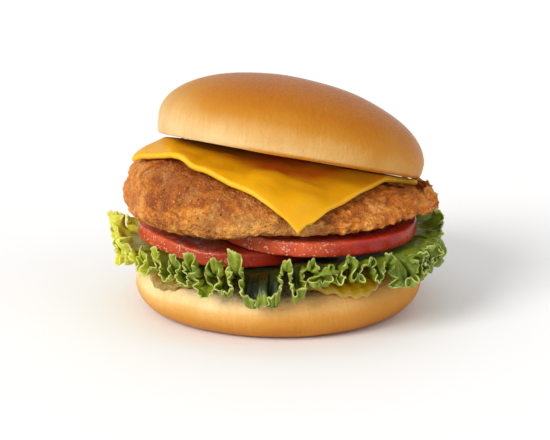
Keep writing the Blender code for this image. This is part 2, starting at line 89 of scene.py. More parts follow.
def rough(points, size):
    """Smooth noise from -1 to 1 at each point, with lumps of about this size."""
    flat = np.reshape(points, (-1, 3)) / size
    return np.array([noise.noise(Vector(p)) for p in flat]).reshape(np.shape(points)[:-1])


def new_object(name, data):
    """Puts a mesh, a lamp or a camera into the scene."""
    thing = bpy.data.objects.new(name, data)
    bpy.context.scene.collection.objects.link(thing)
    return thing


def lay_piece(name, points, faces, finish, fields):
    """Makes one piece. fields gives its finish a number or a direction at every point."""
    mesh = bpy.data.meshes.new(name)
    mesh.from_pydata(points, [], faces)
    mesh.shade_smooth()
    for label, values in fields.items():
        kind, slot = ("FLOAT_VECTOR", "vector") if values.ndim == 2 else ("FLOAT", "value")
        layer = mesh.attributes.new(label, kind, "POINT")
        layer.data.foreach_set(slot, np.ravel(values).astype(np.float32))
    mesh.materials.append(finish)
    return new_object(name, mesh)


def turned(name, rings, low, high, finish, **fields):
    """A closed piece from rings of points (ring, column, xyz), listed upwards, and two poles."""
    count, columns = rings.shape[:2]
    row, column = np.meshgrid(np.arange(count - 1), np.arange(columns), indexing="ij")
    a = row * columns + column
    b = row * columns + (column + 1) % columns
    quads = np.stack([a, b, b + columns, a + columns], axis=-1).reshape(-1, 4)
    here = np.arange(columns)
    after = (here + 1) % columns
    top = (count - 1) * columns
    low_pole = np.full(columns, count * columns)
    caps = np.vstack(
        [
            np.stack([low_pole, after, here], axis=1),
            np.stack([low_pole + 1, top + here, top + after], axis=1),
        ]
    )
    points = np.vstack([rings.reshape(-1, 3), [low], [high]])
    ended = {}
    for label, values in fields.items():
        rows = values.reshape(count * columns, *values.shape[2:])
        ended[label] = np.concatenate([rows, [values[0].mean(0)], [values[-1].mean(0)]])
    return lay_piece(name, points, quads.tolist() + caps.tolist(), finish, ended)


def outward_of(rings):
    """The direction straight out of a turned piece at each point of its rings."""
    round_it = np.roll(rings, -1, axis=1) - np.roll(rings, 1, axis=1)
    outward = np.cross(round_it, np.gradient(rings, axis=0))
    return outward / np.linalg.norm(outward, axis=2, keepdims=True)


def turns(columns):
    """Equal steps round a circle, in radians."""
    return np.arange(columns) * math.tau / columns


def ring(radii, height, columns):
    """One ring of points. radii is one radius, or one for each column."""
    turn = turns(columns)
    return np.stack([radii * np.cos(turn), radii * np.sin(turn), 0 * turn + height], axis=1)


def uneven(columns, share, *waves):
    """Radius factors round a hand-made round thing, from a few slow waves (count, phase)."""
    return 1 + share * sum(np.cos(n * turns(columns) + phase) / n**0.5 for n, phase in waves)


def quarter_arc(steps):
    """(sine, cosine) pairs of equal steps from 0 to a right angle."""
    return [(math.sin(a), math.cos(a)) for a in np.linspace(0, math.pi / 2, steps)]


def heel_side(steps):
    """(radius, height) pairs up the heel's side, from the base's edge to the cut face."""
    bulge = HEEL_WIDEST_RADIUS - HEEL_BASE_RADIUS
    shoulder = HEEL_WIDEST_RADIUS - HEEL_CUT_RADIUS
    rise = HEEL_HEIGHT - HEEL_WIDEST_HEIGHT
    lower = [
        (HEEL_BASE_RADIUS + bulge * sine, HEEL_WIDEST_HEIGHT * (1 - cosine))
        for sine, cosine in quarter_arc(steps)
    ]
    upper = [
        (HEEL_CUT_RADIUS + shoulder * cosine, HEEL_WIDEST_HEIGHT + rise * sine)
        for sine, cosine in quarter_arc(steps)[1:]
    ]
    return lower + upper


def heel_growth(x):
    """How much taller the heel is towards the right."""
    return 1 + HEEL_RISE_TO_RIGHT * x / HEEL_WIDEST_RADIUS


def grain_of(rings):
    """Where each point is round the bun and up its side, for streaks that run up the crust."""
    steps = np.linalg.norm(np.diff(rings, axis=0), axis=2).mean(1)
    climbed = np.concatenate([[0], np.cumsum(steps)])
    turn = turns(rings.shape[1])
    grain = np.empty(rings.shape)
    grain[..., 0] = np.cos(turn) * HEEL_WIDEST_RADIUS
    grain[..., 1] = np.sin(turn) * HEEL_WIDEST_RADIUS
    grain[..., 2] = climbed[:, None] / STREAK_LENGTH
    return grain


def browning_of(rings, by_height, more_at_right):
    """How baked a crust is at each point: by its height, and darker towards the right, partly browner
    and partly painted shade.
    """
    browning = np.interp(rings[..., 2], *np.transpose(by_height))
    right = smooth(BAKED_MORE_FROM, BAKED_MORE_TO, rings[..., 0])
    return browning + more_at_right * right * (1 - browning)


def new_finish(name, constants):
    """A material with these constants on its shader: (the material, its nodes, its shader)."""
    finish = bpy.data.materials.new(name)
    finish.use_nodes = True
    tree = finish.node_tree
    shader = tree.nodes["Principled BSDF"]
    for socket, value in constants.items():
        shader.inputs[socket].default_value = value
    return finish, tree, shader


def add_node(tree, kind, inputs, output=0, **settings):
    """Adds a shader node. inputs gives each socket a value, or another node's output."""
    node = tree.nodes.new("ShaderNode" + kind)
    for setting, value in settings.items():
        setattr(node, setting, value)
    for name, value in inputs.items():
        socket = node.inputs[name]
        if isinstance(value, bpy.types.NodeSocket):
            tree.links.new(value, socket)
        else:
            socket.default_value = (*value, 1.0) if socket.type == "RGBA" else value
    return node.outputs[output]


def field(tree, name, output="Fac"):
    """A field of the piece, from 0 to 1, or its direction with output Vector."""
    return add_node(tree, "Attribute", {}, output, attribute_name=name)


def place_on(tree):
    """Where a point is, in metres."""
    return add_node(tree, "TexCoord", {}, "Object")


def mottle(tree, size, detail=2.0, contrast=1.0, where=None):
    """Noise round 0.5, in patches of about this size."""
    if where is None:
        where = place_on(tree)
    patches = add_node(tree, "TexNoise", {"Vector": where, "Scale": 1 / size, "Detail": detail})
    return spread(tree, patches, 0.5 - 0.5 / contrast, 0.5 + 0.5 / contrast, 0, 1)


def cells(tree, count, **settings):
    """How far a point is from the nearest of scattered points, of which this many fit in a metre."""
    return add_node(tree, "TexVoronoi", {"Vector": place_on(tree), "Scale": count}, **settings)


def spread(tree, value, low, high, new_low, new_high):
    """Maps low to high onto new_low to new_high, and keeps it between them."""
    ends = {"Value": value, 1: low, 2: high, 3: new_low, 4: new_high}
    return add_node(tree, "MapRange", ends)


def reckon(tree, operation, *values):
    """One sum, product or other operation on sockets and numbers."""
    return add_node(tree, "Math", dict(enumerate(values)), operation=operation)


def times(tree, first, second):
    """The product of two sockets or numbers."""
    return reckon(tree, "MULTIPLY", first, second)


def nudged(tree, value, patches, amount):
    """A value that patches round 0.5 move up and down."""
    return reckon(tree, "MULTIPLY_ADD", reckon(tree, "SUBTRACT", patches, 0.5), amount, value)


def blend(tree, share, first, second, how="MIX"):
    """Two colours, mixed by a share."""
    ends = {0: share, 6: first, 7: second}
    return add_node(tree, "Mix", ends, 2, data_type="RGBA", blend_type=how)


def ramp(tree, share, stops):
    """A colour that runs through (share, colour) stops."""
    socket = add_node(tree, "ValToRGB", {0: share})
    elements = socket.node.color_ramp.elements
    for element, (place, colour) in zip(elements, (stops[0], stops[-1])):
        element.position = place
        element.color = (*colour, 1.0)
    for place, colour in stops[1:-1]:
        elements.new(place).color = (*colour, 1.0)
    return socket


def relief(tree, shader, height, depth):
    """Lets a value from 0 to 1 stand out of the surface, this deep at most."""
    before = shader.inputs["Normal"].links
    inputs = {"Height": height, "Distance": depth, "Strength": 1.0}
    if before:
        inputs["Normal"] = before[0].from_socket
    tree.links.new(add_node(tree, "Bump", inputs), shader.inputs["Normal"])


def baked_bread(name, crust_stops, dull, glazed):
    """A bun's crust and its toasted crumb, told apart by the field cut."""
    constants = {
        "Subsurface Weight": 0.14,
        "Subsurface Radius": (1.0, 0.55, 0.25),
        "Subsurface Scale": 0.0022,
        "Specular IOR Level": 0.10,
    }
    finish, tree, shader = new_finish(name, constants)
    browning = field(tree, "browning")
    grain = field(tree, "grain", "Vector")
    patches = mottle(tree, 0.015, 3.0)
    streaks = mottle(tree, 0.0011, 3.0, 1.6, grain)
    paleness = spread(tree, browning, 0.15, 0.75, 0.13, 0.04)
    baked = nudged(tree, browning, patches, 0.36)
    crust = ramp(tree, nudged(tree, baked, streaks, paleness), crust_stops)
    pores = mottle(tree, 0.00055, 4.0, 1.7)
    crust = blend(tree, spread(tree, pores, 0.55, 1.0, 0, 0.22), crust, (0.36, 0.13, 0.025))
    holes = cells(tree, 620.0, feature="SMOOTH_F1")
    toast = mottle(tree, 0.011, 4.0, 1.4)
    # Painted shade: the toasted crumb is painted darker in its holes.
    toasted = reckon(tree, "ADD", spread(tree, holes, 0.0, 0.5, -0.25, 0.25), toast)
    cut = field(tree, "cut")
    colour = blend(tree, cut, crust, ramp(tree, toasted, CRUMB))
    tree.links.new(colour, shader.inputs["Base Color"])
    shine = spread(tree, browning, 0.2, 0.9, dull, glazed)
    shine = reckon(tree, "ADD", spread(tree, pores, 0.3, 0.9, -0.05, 0.09), shine)
    shine = reckon(tree, "MAXIMUM", shine, times(tree, cut, 0.85))
    tree.links.new(shine, shader.inputs["Roughness"])
    skin = reckon(tree, "MULTIPLY_ADD", streaks, 0.5, times(tree, pores, 0.5))
    crusted = reckon(tree, "SUBTRACT", 1.0, cut)
    relief(tree, shader, times(tree, skin, crusted), 0.00020)
    dimples = mottle(tree, 0.0017, 2.0, 1.6)
    relief(tree, shader, times(tree, dimples, crusted), 0.00024)
    relief(tree, shader, times(tree, holes, cut), 0.0008)
    return finish


base_face = [(radius, 0.0) for radius in np.linspace(0.004, HEEL_BASE_RADIUS, 10)[:-1]]
cut_radii = np.linspace(HEEL_CUT_RADIUS, 0.004, 34)[1:]
cut_sink = np.interp(cut_radii, (BUN_FLAT_RADIUS, HEEL_CUT_RADIUS), (HEEL_SINK, 0))
heel_profile = base_face + heel_side(26) + list(zip(cut_radii, HEEL_HEIGHT - cut_sink))
heel_shape = uneven(BUN_COLUMNS, 0.006, (2, 0.4), (3, 1.9), (5, 0.7))
heel_rings = np.stack([ring(radius * heel_shape, z, BUN_COLUMNS) for radius, z in heel_profile])
# How baked the heel's crust is, with painted shade added towards its right.
heel_browning = browning_of(heel_rings, HEEL_BROWNING, 0.42)
heel_rings[..., 2] *= heel_growth(heel_rings[..., 0])
heel_grain = grain_of(heel_rings)
heel_cut = np.zeros(heel_rings.shape[:2])
heel_cut[-len(cut_radii) :] = 1
puckers = 0.00022 * rough(heel_rings, 0.014) + 0.00007 * rough(heel_grain, 0.0016)
off_the_base = smooth(0.0004, 0.0030, heel_rings[..., 2])
heel_rings += outward_of(heel_rings) * (puckers * off_the_base * (1 - heel_cut))[..., None]
heel = turned(
    "heel_of_bun",
    heel_rings,
    (0, 0, 0),
    (0, 0, HEEL_HEIGHT - HEEL_SINK),
    baked_bread("heel crust", HEEL_CRUST, 0.62, 0.50),
    browning=heel_browning,
    grain=heel_grain,
    cut=heel_cut,
)
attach(heel, "root")
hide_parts("bottom_bun")


# The pickles are crinkle-cut chips of small cucumbers in brine: a thin tough skin round firm,
# glassy flesh with a ring of pale seeds. They lie on the heel in two shingles of two and bend
# over its shoulder.
CHIP_RADIUS = 0.0170
CHIP_THICKNESS = 0.0020
CHIP_RIDGE_SPACING = 0.0048
CHIP_RIDGE_DEPTH = 0.00025
CHIP_LOOSE_RIDGE_DEPTH = 0.00050  # where no other chip lies on it
CHIP_DISTANCE = 0.0368
CHIP_DROOP_RADIUS = 0.0470
CHIP_DROOP = 0.0036
CHIP_DROOP_RUN = 0.0070
CHIP_LAP_RUN = 0.0078
CHIP_SECTIONS = 71


def chip_bed(x, y):
    """The height that a chip on the heel lies at: level, then over the rounded shoulder."""
    past = (np.hypot(x, y) - CHIP_DROOP_RADIUS) / CHIP_DROOP_RUN
    droop = CHIP_DROOP * np.clip(past, 0, 1.3) ** 2.8
    return (HEEL_HEIGHT - droop) * heel_growth(x) + GAP


def chip_centre(azimuth):
    turn = math.radians(azimuth)
    return np.array([math.cos(turn), math.sin(turn)]) * CHIP_DISTANCE


def pickled_cucumber(name, flesh, deep):
    """Glassy olive flesh, darker at the skin, with pale seeds in a ring."""
    constants = {
        "Roughness": 0.22,
        "Subsurface Weight": 0.35,
        "Subsurface Radius": (1.0, 0.8, 0.2),
        "Subsurface Scale": 0.0018,
    }
    finish, tree, shader = new_finish(name, constants)
    ray = field(tree, "ray")
    flecks = mottle(tree, 0.0016, 3.0, 1.5)
    colour = blend(tree, flecks, flesh, deep)
    seeds = cells(tree, 330.0)
    seeded = times(tree, spread(tree, seeds, 0.22, 0.34, 1, 0), spread(tree, ray, 0.3, 0.4, 0, 1))
    seeded = times(tree, seeded, spread(tree, ray, 0.62, 0.70, 1, 0))
    colour = blend(tree, times(tree, seeded, 0.55), colour, (0.72, 0.60, 0.24))
    colour = blend(tree, spread(tree, ray, 0.95, 1.0, 0, 0.6), colour, (0.24, 0.22, 0.020))
    tree.links.new(colour, shader.inputs["Base Color"])
    relief(tree, shader, flecks, 0.00025)
    return finish


def lay_chip(name, node, azimuth, finish, over=None, beside=None):
    """A chip that lies on the heel. over is the azimuth of a chip that it laps over, and beside
    that of the one that laps over it."""
    centre = chip_centre(azimuth)
    outward = centre / CHIP_DISTANCE
    along = np.array([-outward[1], outward[0]])
    round_edge = np.linspace(-math.pi / 2, math.pi / 2, 7)
    edge = 0.955 + 0.045 * np.cos(round_edge)
    face = np.linspace(-0.93, 0.93, 25)
    across = np.concatenate([face, edge, -face, -edge])
    half_up = np.sin(round_edge) / 2 + 0.5
    level = np.concatenate([0 * face, half_up, 0 * face + 1, half_up[::-1]])
    rings, rays = [], []
    for u in np.linspace(0.9975, -0.9975, CHIP_SECTIONS) * CHIP_RADIUS:
        half = math.sqrt(CHIP_RADIUS**2 - u * u)
        flat = centre + along * u + outward * (across * half)[:, None]
        bed = chip_bed(flat[:, 0], flat[:, 1])
        depth = np.full(len(flat), CHIP_LOOSE_RIDGE_DEPTH)
        for other in (over, beside):
            if other is not None:
                away = np.linalg.norm(flat - chip_centre(other), axis=1) - CHIP_RADIUS
                tight = 1 - smooth(0.0005, 0.0040, away)
                depth = depth + (CHIP_RIDGE_DEPTH - depth) * tight
        if over is not None:
            away = np.linalg.norm(flat - chip_centre(over), axis=1) - CHIP_RADIUS - 3 * GAP
            lapped = 1 - smooth(0, CHIP_LAP_RUN, away)
            bed = bed + (CHIP_THICKNESS + 2 * CHIP_RIDGE_DEPTH + GAP) * lapped
        crinkle = depth * (1 + math.cos(math.tau * u / CHIP_RIDGE_SPACING))
        rings.append(np.column_stack([flat, bed + crinkle + CHIP_THICKNESS * level]))
        rays.append(np.hypot(u, across * half) / CHIP_RADIUS)
    rings, rays = np.array(rings), np.array(rays)
    rings[..., 2] += 0.00012 * rough(rings, 0.003)
    low, high = rings[0].mean(0), rings[-1].mean(0)
    chip = turned(name, rings, low, high, finish, ray=rays)
    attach(chip, "root")
    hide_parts(node)


pale_pickle = pickled_cucumber("pale pickle", (0.44, 0.25, 0.050), (0.33, 0.175, 0.020))
olive_pickle = pickled_cucumber("olive pickle", (0.86, 0.50, 0.012), (0.66, 0.34, 0.005))
lay_chip("chip_left_front", "pickle_left_front", 216, pale_pickle, beside=173)
lay_chip("chip_left", "pickle_left", 173, pale_pickle, over=216)
lay_chip("chip_right_front", "pickle_right_front", 303, olive_pickle, beside=344)
lay_chip("chip_right", "pickle_right", 344, olive_pickle, over=303)


# The lettuce is two leaves of a frilled green kind. Each is flat where the slices press on it,
# and beyond them its blade turns up and down in deep folds, with ruffles and teeth along its
# thin margin. Hanging lobes curl up like cups. The left side is the leaf's young, yellow part,
# and it is also painted brighter, a painted glow of light shining through it. Hollows at the
# front are painted dark as shade.
LEAF_THICKNESS = 0.0006
LEAF_RIM_THICKNESS = 0.00035
LEAF_FRONT_LEVEL = 0.0229
LEAF_BACK_LEVEL = 0.0237
LEAF_RAISE = 0.0054  # at the right it lies against the upper slice, beside the lower one
LEAF_RAISED_BESIDE = (0.004, 0.014)
LEAF_INNER_RADIUS = 0.008
LEAF_FLAT_RADIUS = 0.0480
LEAF_EDGE_RADIUS = 0.0605
LEAF_LEAST_FRILL = 0.0078
LEAF_WAVE = 0.0165
LEAF_CURL_FROM = 0.72
LEAF_ROWS = (0.001, *np.linspace(0.06, 0.90, 18), 0.93, 0.96, 0.985, 1.0)
FRILL_SAMPLES = 64
RUFFLE_DEPTH = 0.00165
RUFFLE_RUN = 0.0062
CRIMP_DEPTH = 0.00062
CRIMP_RUN = 0.0029
CRINKLES = ((0.0046, 0.00125), (0.0021, 0.00060))  # (size, depth)
TOOTH_DEPTH = 0.0024
SCALLOP_DEPTH = 0.0012
MARGIN_DRAWN_IN = 0.0004
FRONT_LOBES = (  # (azimuth, height that it hangs to, crest before the next, fold, curl of its lip)
    (191, 0.0200, 0.0285, 1.45, 0.10),
    (198, 0.0205, 0.0305, 1.60, 0.20),
    (206, 0.0225, 0.0310, 1.65, 0.20),
    (214, 0.0232, 0.0315, 1.65, 0.25),
    (222, 0.0228, 0.0326, 1.70, 0.30),
    (230, 0.0205, 0.0318, 1.75, 0.45),
    (237, 0.0210, 0.0325, 1.75, 0.35),
    (244, 0.0172, 0.0328, 1.78, 0.10),
    (251.5, 0.0183, 0.0368, 1.85, 0.30),
    (260.5, 0.0150, 0.0170, 0.60, 0.50),
    (268.5, 0.0155, 0.0325, 1.80, 0.50),
    (276, 0.0178, 0.0320, 1.80, 0.30),
    (284, 0.0225, 0.0305, 1.70, 0.25),
    (290, 0.0232, 0.0320, 1.75, 0.30),
    (296.5, 0.0240, 0.0322, 1.70, 0.25),
    (303, 0.0235, 0.0328, 1.75, 0.15),
    (311, 0.0190, 0.0200, 0.60, 0.10),
    (316, 0.0187, 0.0315, 1.75, 0.20),
    (324, 0.0185, 0.0300, 1.70, 0.30),
    (332, 0.0188, 0.0285, 1.65, 0.30),
    (341, 0.0192, 0.0236, 1.50, 0.20),
    (351, 0.0205, 0.0205, 0, 0.10),
)
BACK_LOBES_AT_RIGHT = (
    (-17, 0.0280, 0.0335, 1.45, 0.10),
    (-7, 0.0255, 0.0345, 1.60, 0.30),
    (3, 0.0225, 0.0320, 1.65, 0.20),
)
BACK_LOBES_AT_LEFT = (
    (172, 0.0225, 0.0330, 1.65, 0.20),
    (181, 0.0250, 0.0360, 1.70, 0.30),
    (190, 0.0270, 0.0365, 1.60, 0.20),
    (199, 0.0285, 0.0285, 0, 0.10),
)
BACK_LOBE_HEIGHT = 0.0175
BACK_CREST_HEIGHT = 0.0300
TOMATO_RADIUS = 0.0367
TOMATO_LEFT = (-0.0153, -0.0050)
TOMATO_RIGHT = (0.0140, -0.0120)


def across_sheet(middle):
    """The direction straight out of a sheet's upper face at each point of its grid."""
    normal = np.cross(np.gradient(middle, axis=1), np.gradient(middle, axis=0))
    return normal / np.linalg.norm(normal, axis=2, keepdims=True)


def laid_sheet(name, middle, thickness, finish, **fields):
    """A closed thin piece round a grid of middle points, with both faces split alike."""
    rows, columns = middle.shape[:2]
    thick = np.broadcast_to(thickness, (rows, columns))[..., None]
    half = across_sheet(middle) * thick / 2
    points = np.concatenate([middle + half, middle - half]).reshape(-1, 3)
    under = rows * columns
    row, column = np.meshgrid(np.arange(rows - 1), np.arange(columns - 1), indexing="ij")
    a = (row * columns + column).ravel()
    b, d, e = a + 1, a + columns, a + columns + 1
    upper = ((a, b, e), (a, e, d))
    lower = ((under + a, under + e, under + b), (under + a, under + d, under + e))
    faces = np.concatenate([np.stack(corner, axis=1) for corner in upper + lower]).tolist()
    border = (
        [(0, c) for c in range(columns - 1)]
        + [(r, columns - 1) for r in range(rows - 1)]
        + [(rows - 1, c) for c in range(columns - 1, 0, -1)]
        + [(r, 0) for r in range(rows - 1, 0, -1)]
    )
    edge = [r * columns + c for r, c in border]
    for here, there in zip(edge, edge[1:] + edge[:1]):
        faces += [(there, here, under + here), (there, under + here, under + there)]
    doubled = {label: np.tile(np.ravel(values), 2) for label, values in fields.items()}
    return lay_piece(name, points, faces, finish, doubled)


def slice_reach(centre, turn):
    """How far one tomato slice reaches from the burger's axis, in each direction."""
    along = centre[0] * np.cos(turn) + centre[1] * np.sin(turn)
    return along + np.sqrt(TOMATO_RADIUS**2 - centre[0] ** 2 - centre[1] ** 2 + along**2)


def lobes_of(seed, stations):
    """A leaf's lobes from their stations, each with its own ripple."""
    draw = random.Random(seed)
    return [
        {
            "turn": math.radians(azimuth),
            "height": height,
            "crest": crest,
            "fold": fold,
            "curl": curl,
            "ripple": draw.uniform(0.08, 0.22) * draw.choice((-1, 1)),
            "ripples": draw.choice((2, 3)),
            "reach": draw.uniform(-0.0014, 0.0018),
            "lean": draw.uniform(-0.05, 0.12),
        }
        for azimuth, height, crest, fold, curl in stations
    ]


def back_stations(seed):
    """The back leaf's stations: the ones that show at its ends, and uneven ones between them."""
    draw = random.Random(seed)
    start, end = BACK_LOBES_AT_RIGHT[-1][0], BACK_LOBES_AT_LEFT[0][0]
    count = round(math.radians(end - start) * LEAF_EDGE_RADIUS / LEAF_WAVE)
    widths = np.array([draw.uniform(0.75, 1.3) for _ in range(count)])
    azimuths = start + (end - start) * np.cumsum(widths)[:-1] / widths.sum()
    hidden = [
        (
            azimuth,
            BACK_LOBE_HEIGHT + draw.uniform(-0.002, 0.002),
            BACK_CREST_HEIGHT + draw.uniform(-0.002, 0.002),
            draw.uniform(1.45, 1.75),
            draw.uniform(0.10, 0.35),
        )
        for azimuth in azimuths
    ]
    return (*BACK_LOBES_AT_RIGHT, *hidden, *BACK_LOBES_AT_LEFT)


def frill_line(lobe, share):
    """One frill at a share of the way to the margin: (along 0 to 1, rise in frill widths).

    The line turns one way and then the other, and bends back on itself where it folds most."""
    steps = FRILL_SAMPLES * 16
    place = (np.arange(steps) + 0.5) / steps
    angle = lobe["fold"] * np.sin(math.tau * place)
    angle = angle + lobe["ripple"] * np.sin(math.tau * lobe["ripples"] * place)
    angle = angle * share**0.6
    along = np.concatenate([[0], np.cumsum(np.cos(angle))])
    rise = np.concatenate([[0], np.cumsum(np.sin(angle))])
    rise = (rise - rise[-1] * along / along[-1]) / along[-1]
    return along[::16] / along[-1], rise[::16]


def blade_bend(share, curl):
    """(outward, away from its level): how far the blade has gone at a share of the way to its
    margin.

    It goes outward first, and then up or down. Where it curls, its lip comes back."""
    quarter = math.pi / 2
    out = math.sin(quarter * share) ** 0.85
    drop = (1 - math.cos(quarter * share)) ** 1.1
    lip = max(0.0, (share - LEAF_CURL_FROM) / (1 - LEAF_CURL_FROM)) ** 1.7
    curled_out = 0.82 * math.sin(quarter * min(share / 0.62, 1)) + 0.22 * lip
    curled_drop = math.sin(quarter * min(share / LEAF_CURL_FROM, 1)) ** 1.8 - curl * lip
    curled = np.clip(curl / 0.2, 0, 1)
    return out + (curled_out - out) * curled, drop + (curled_drop - drop) * curled


def leaf_frill(here, there, level, share):
    """One frill's points at a share of the way to the margin, from a lobe up to the next."""
    along, rise = frill_line(here, share)
    place = smooth(0, 1, along)
    span = there["turn"] - here["turn"]
    turn = here["turn"] + span * along
    margin = here["height"] + (there["height"] - here["height"]) * place
    tallest = here["crest"] - (here["height"] + there["height"]) / 2
    lift = rise / frill_line(here, 1.0)[1].max() * tallest * share**0.5
    reach_left = slice_reach(TOMATO_LEFT, turn)
    reach_right = slice_reach(TOMATO_RIGHT, turn)
    flat = np.maximum(LEAF_FLAT_RADIUS, np.maximum(reach_left, reach_right) + 2 * GAP)
    edge = np.maximum(LEAF_EDGE_RADIUS, flat + LEAF_LEAST_FRILL)
    base = level + LEAF_RAISE * smooth(*LEAF_RAISED_BESIDE, flat - reach_left)
    curl = here["curl"] + (there["curl"] - here["curl"]) * place
    curl = curl * (1 - smooth(0, 0.7, rise / max(rise.max(), 1e-9)))
    out, drop = np.array([blade_bend(share, c) for c in curl]).T
    reach = (here["reach"] * share**2 + here["lean"] * lift * share) * np.sin(math.pi * along)
    radius = flat + (edge - flat) * out + reach
    height = base + (margin - base) * drop + lift
    return np.stack([radius * np.cos(turn), radius * np.sin(turn), height], axis=1)


def leaf_grid(lobes, level):
    """The middle of a leaf, (row, column, xyz): its inner edge, the foot of its rise beside the
    lower slice, and then rows to the margin."""
    grid = []
    for share in LEAF_ROWS:
        frills = [leaf_frill(here, there, level, share) for here, there in zip(lobes, lobes[1:])]
        joined = [frill[:-1] for frill in frills[:-1]] + frills[-1:]
        grid.append(np.concatenate(joined))
    first = grid[0]
    reach = np.hypot(first[:, 0], first[:, 1])
    turn = np.arctan2(first[:, 1], first[:, 0])
    foot_reach = np.minimum(slice_reach(TOMATO_LEFT, turn) + 3 * GAP, reach - 5 * GAP)
    foot = first * (foot_reach / reach)[:, None]
    foot[:, 2] = level
    inner = first * (LEAF_INNER_RADIUS / LEAF_FLAT_RADIUS)
    inner[:, 2] = level
    return np.array([inner, foot, *grid])


def along_margin(middle):
    """How far along the margin each column is."""
    runs = np.linalg.norm(np.diff(middle[-1], axis=0), axis=1)
    return np.concatenate([[0], np.cumsum(runs)])


def drift(along, run, seed):
    """Smooth noise from -1 to 1 along the margin, that changes over about this run."""
    return np.array([noise.noise(Vector((place / run, seed, 0.5))) for place in along])


def ruffled(middle, shares, cup, seed):
    """Adds the blade's crinkles, and the ruffles and teeth of the margin, which grow towards it.

    A lobe that is a cup has calmer ruffles."""
    along = along_margin(middle)
    grown = shares[:, None]
    swell = (0.85 + 0.6 * drift(along, 0.011, seed)) * (1 - 0.88 * cup)
    wander = 5.0 * drift(along, 0.010, seed + 3)
    ruffle = RUFFLE_DEPTH * swell * np.sin(math.tau * along / RUFFLE_RUN + wander)
    jitter = 7.0 * drift(along, 0.005, seed + 6)
    crimp = CRIMP_DEPTH * np.sin(math.tau * along / CRIMP_RUN + jitter)
    crinkle = sum(depth * rough(middle, size) for size, depth in CRINKLES)
    crinkle *= smooth(0.04, 0.30, grown) * (1 - 0.8 * cup)
    raised = ruffle * grown**1.15 * smooth(0, 0.25, grown) + crimp * grown**4 + crinkle
    middle = middle + across_sheet(middle) * raised[..., None]
    outward = np.gradient(middle, axis=0)
    outward /= np.linalg.norm(outward, axis=2, keepdims=True)
    teeth = TOOTH_DEPTH * np.abs(drift(along, 0.0019, seed + 9))
    teeth = teeth + SCALLOP_DEPTH * drift(along, 0.0040, seed) - MARGIN_DRAWN_IN
    return middle + outward * (teeth * grown**6)[..., None]


def fresh_leaf(name):
    """Leaf green, yellow at the left with a painted glow, dark at the right, with veins, a pale rim
    and painted shade in hollows.
    """
    constants = {
        "Roughness": 0.34,
        "Subsurface Weight": 0.35,
        "Subsurface Radius": (0.8, 1.0, 0.15),
        "Subsurface Scale": 0.0020,
        "Specular IOR Level": 0.32,
    }
    finish, tree, shader = new_finish(name, constants)
    youth = field(tree, "youth")
    patches = mottle(tree, 0.006, 3.0, 1.4)
    age = nudged(tree, youth, patches, 0.5)
    green = ramp(
        tree,
        age,
        (
            (0.00, (0.070, 0.110, 0.004)),
            (0.35, (0.135, 0.192, 0.009)),
            (0.65, (0.305, 0.338, 0.016)),
            (1.00, (0.740, 0.700, 0.060)),
        ),
    )
    vein = field(tree, "vein")
    green = blend(tree, spread(tree, vein, 0.55, 0.95, 0, 0.40), green, (0.42, 0.50, 0.10))
    # Painted shade: the hollows at the front are painted nearly black.
    green = blend(tree, field(tree, "depth"), green, (0.014, 0.022, 0.002))
    rim = spread(tree, field(tree, "growth"), 0.962, 1.0, 0, 0.90)
    rim = times(tree, rim, spread(tree, mottle(tree, 0.004), 0.35, 0.65, 0.25, 1))
    green = blend(tree, rim, green, (0.66, 0.70, 0.22))
    tree.links.new(green, shader.inputs["Base Color"])
    crinkle = mottle(tree, 0.0016, 3.0)
    relief(tree, shader, reckon(tree, "MULTIPLY_ADD", vein, 0.6, crinkle), 0.00045)
    return finish


def lay_leaf(name, node, seed, stations, level, finish):
    shares = np.array([0, 0, *LEAF_ROWS])
    middle = leaf_grid(lobes_of(seed, stations), level)
    along = np.linspace(0, len(stations) - 1, middle.shape[1])
    curl = np.interp(along, np.arange(len(stations)), [lip for *_, lip in stations])
    cup = smooth(0.22, 0.48, curl)
    middle = ruffled(middle, shares, cup, float(seed))
    thickness = np.interp(shares, (0, 0.8, 1), (LEAF_THICKNESS, LEAF_THICKNESS, LEAF_RIM_THICKNESS))
    ribs = np.abs(np.sin(math.pi * along * 2.2 + 3.0 * rough(middle, 0.013)))
    vein = (1 - ribs) ** 2 * smooth(0.0, 0.3, shares)[:, None]
    right = smooth(0.0, 0.050, middle[..., 0])
    left = smooth(0.034, 0.061, -middle[..., 0])
    beside = smooth(0.026, 0.044, np.abs(middle[..., 0]))
    in_front = smooth(0.020, 0.040, -middle[..., 1])
    # Painted shade: at the front the blade is painted dark towards its base, and further out inside
    # the cups, where shade falls; less so at the sides.
    shown_from = 0.10 + 0.54 * cup
    lit = smooth(0, 1, (shares[:, None] - shown_from) / (0.50 - 0.30 * cup))
    depth = (1 - lit) * (0.96 - 0.80 * beside) * in_front
    leaf = laid_sheet(
        name,
        middle,
        thickness[:, None],
        finish,
        growth=np.broadcast_to(shares[:, None], middle.shape[:2]),
        vein=vein,
        depth=depth,
        # Yellow at the left: partly the young leaf, partly a painted glow of light shining through it;
        # darker towards the right.
        youth=0.45 + 0.52 * left - 0.12 * right,
    )
    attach(leaf, "root")
    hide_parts(node)


leaf_green = fresh_leaf("frilled lettuce")
lay_leaf("leaf_front", "lettuce_front", 11, FRONT_LOBES, LEAF_FRONT_LEVEL, leaf_green)
lay_leaf("leaf_back", "lettuce_back", 4, back_stations(4), LEAF_BACK_LEVEL, leaf_green)


# The tomato is two slices of a ripe fruit, laid side by side with the right one lapping over the
# left. Each has a glossy red skin round wet flesh, with seeds in pockets of jelly.
TOMATO_THICKNESS = 0.0055
TOMATO_ROUNDING = 0.0011
TOMATO_LEFT_UNDERSIDE = 0.0243
TOMATO_RIGHT_UNDERSIDE = TOMATO_LEFT_UNDERSIDE + TOMATO_THICKNESS + GAP
TOMATO_RISE = 0.0034
TOMATO_RISE_FROM = 0.0230
TOMATO_RISE_TO = 0.0480
TOMATO_COLUMNS = 300


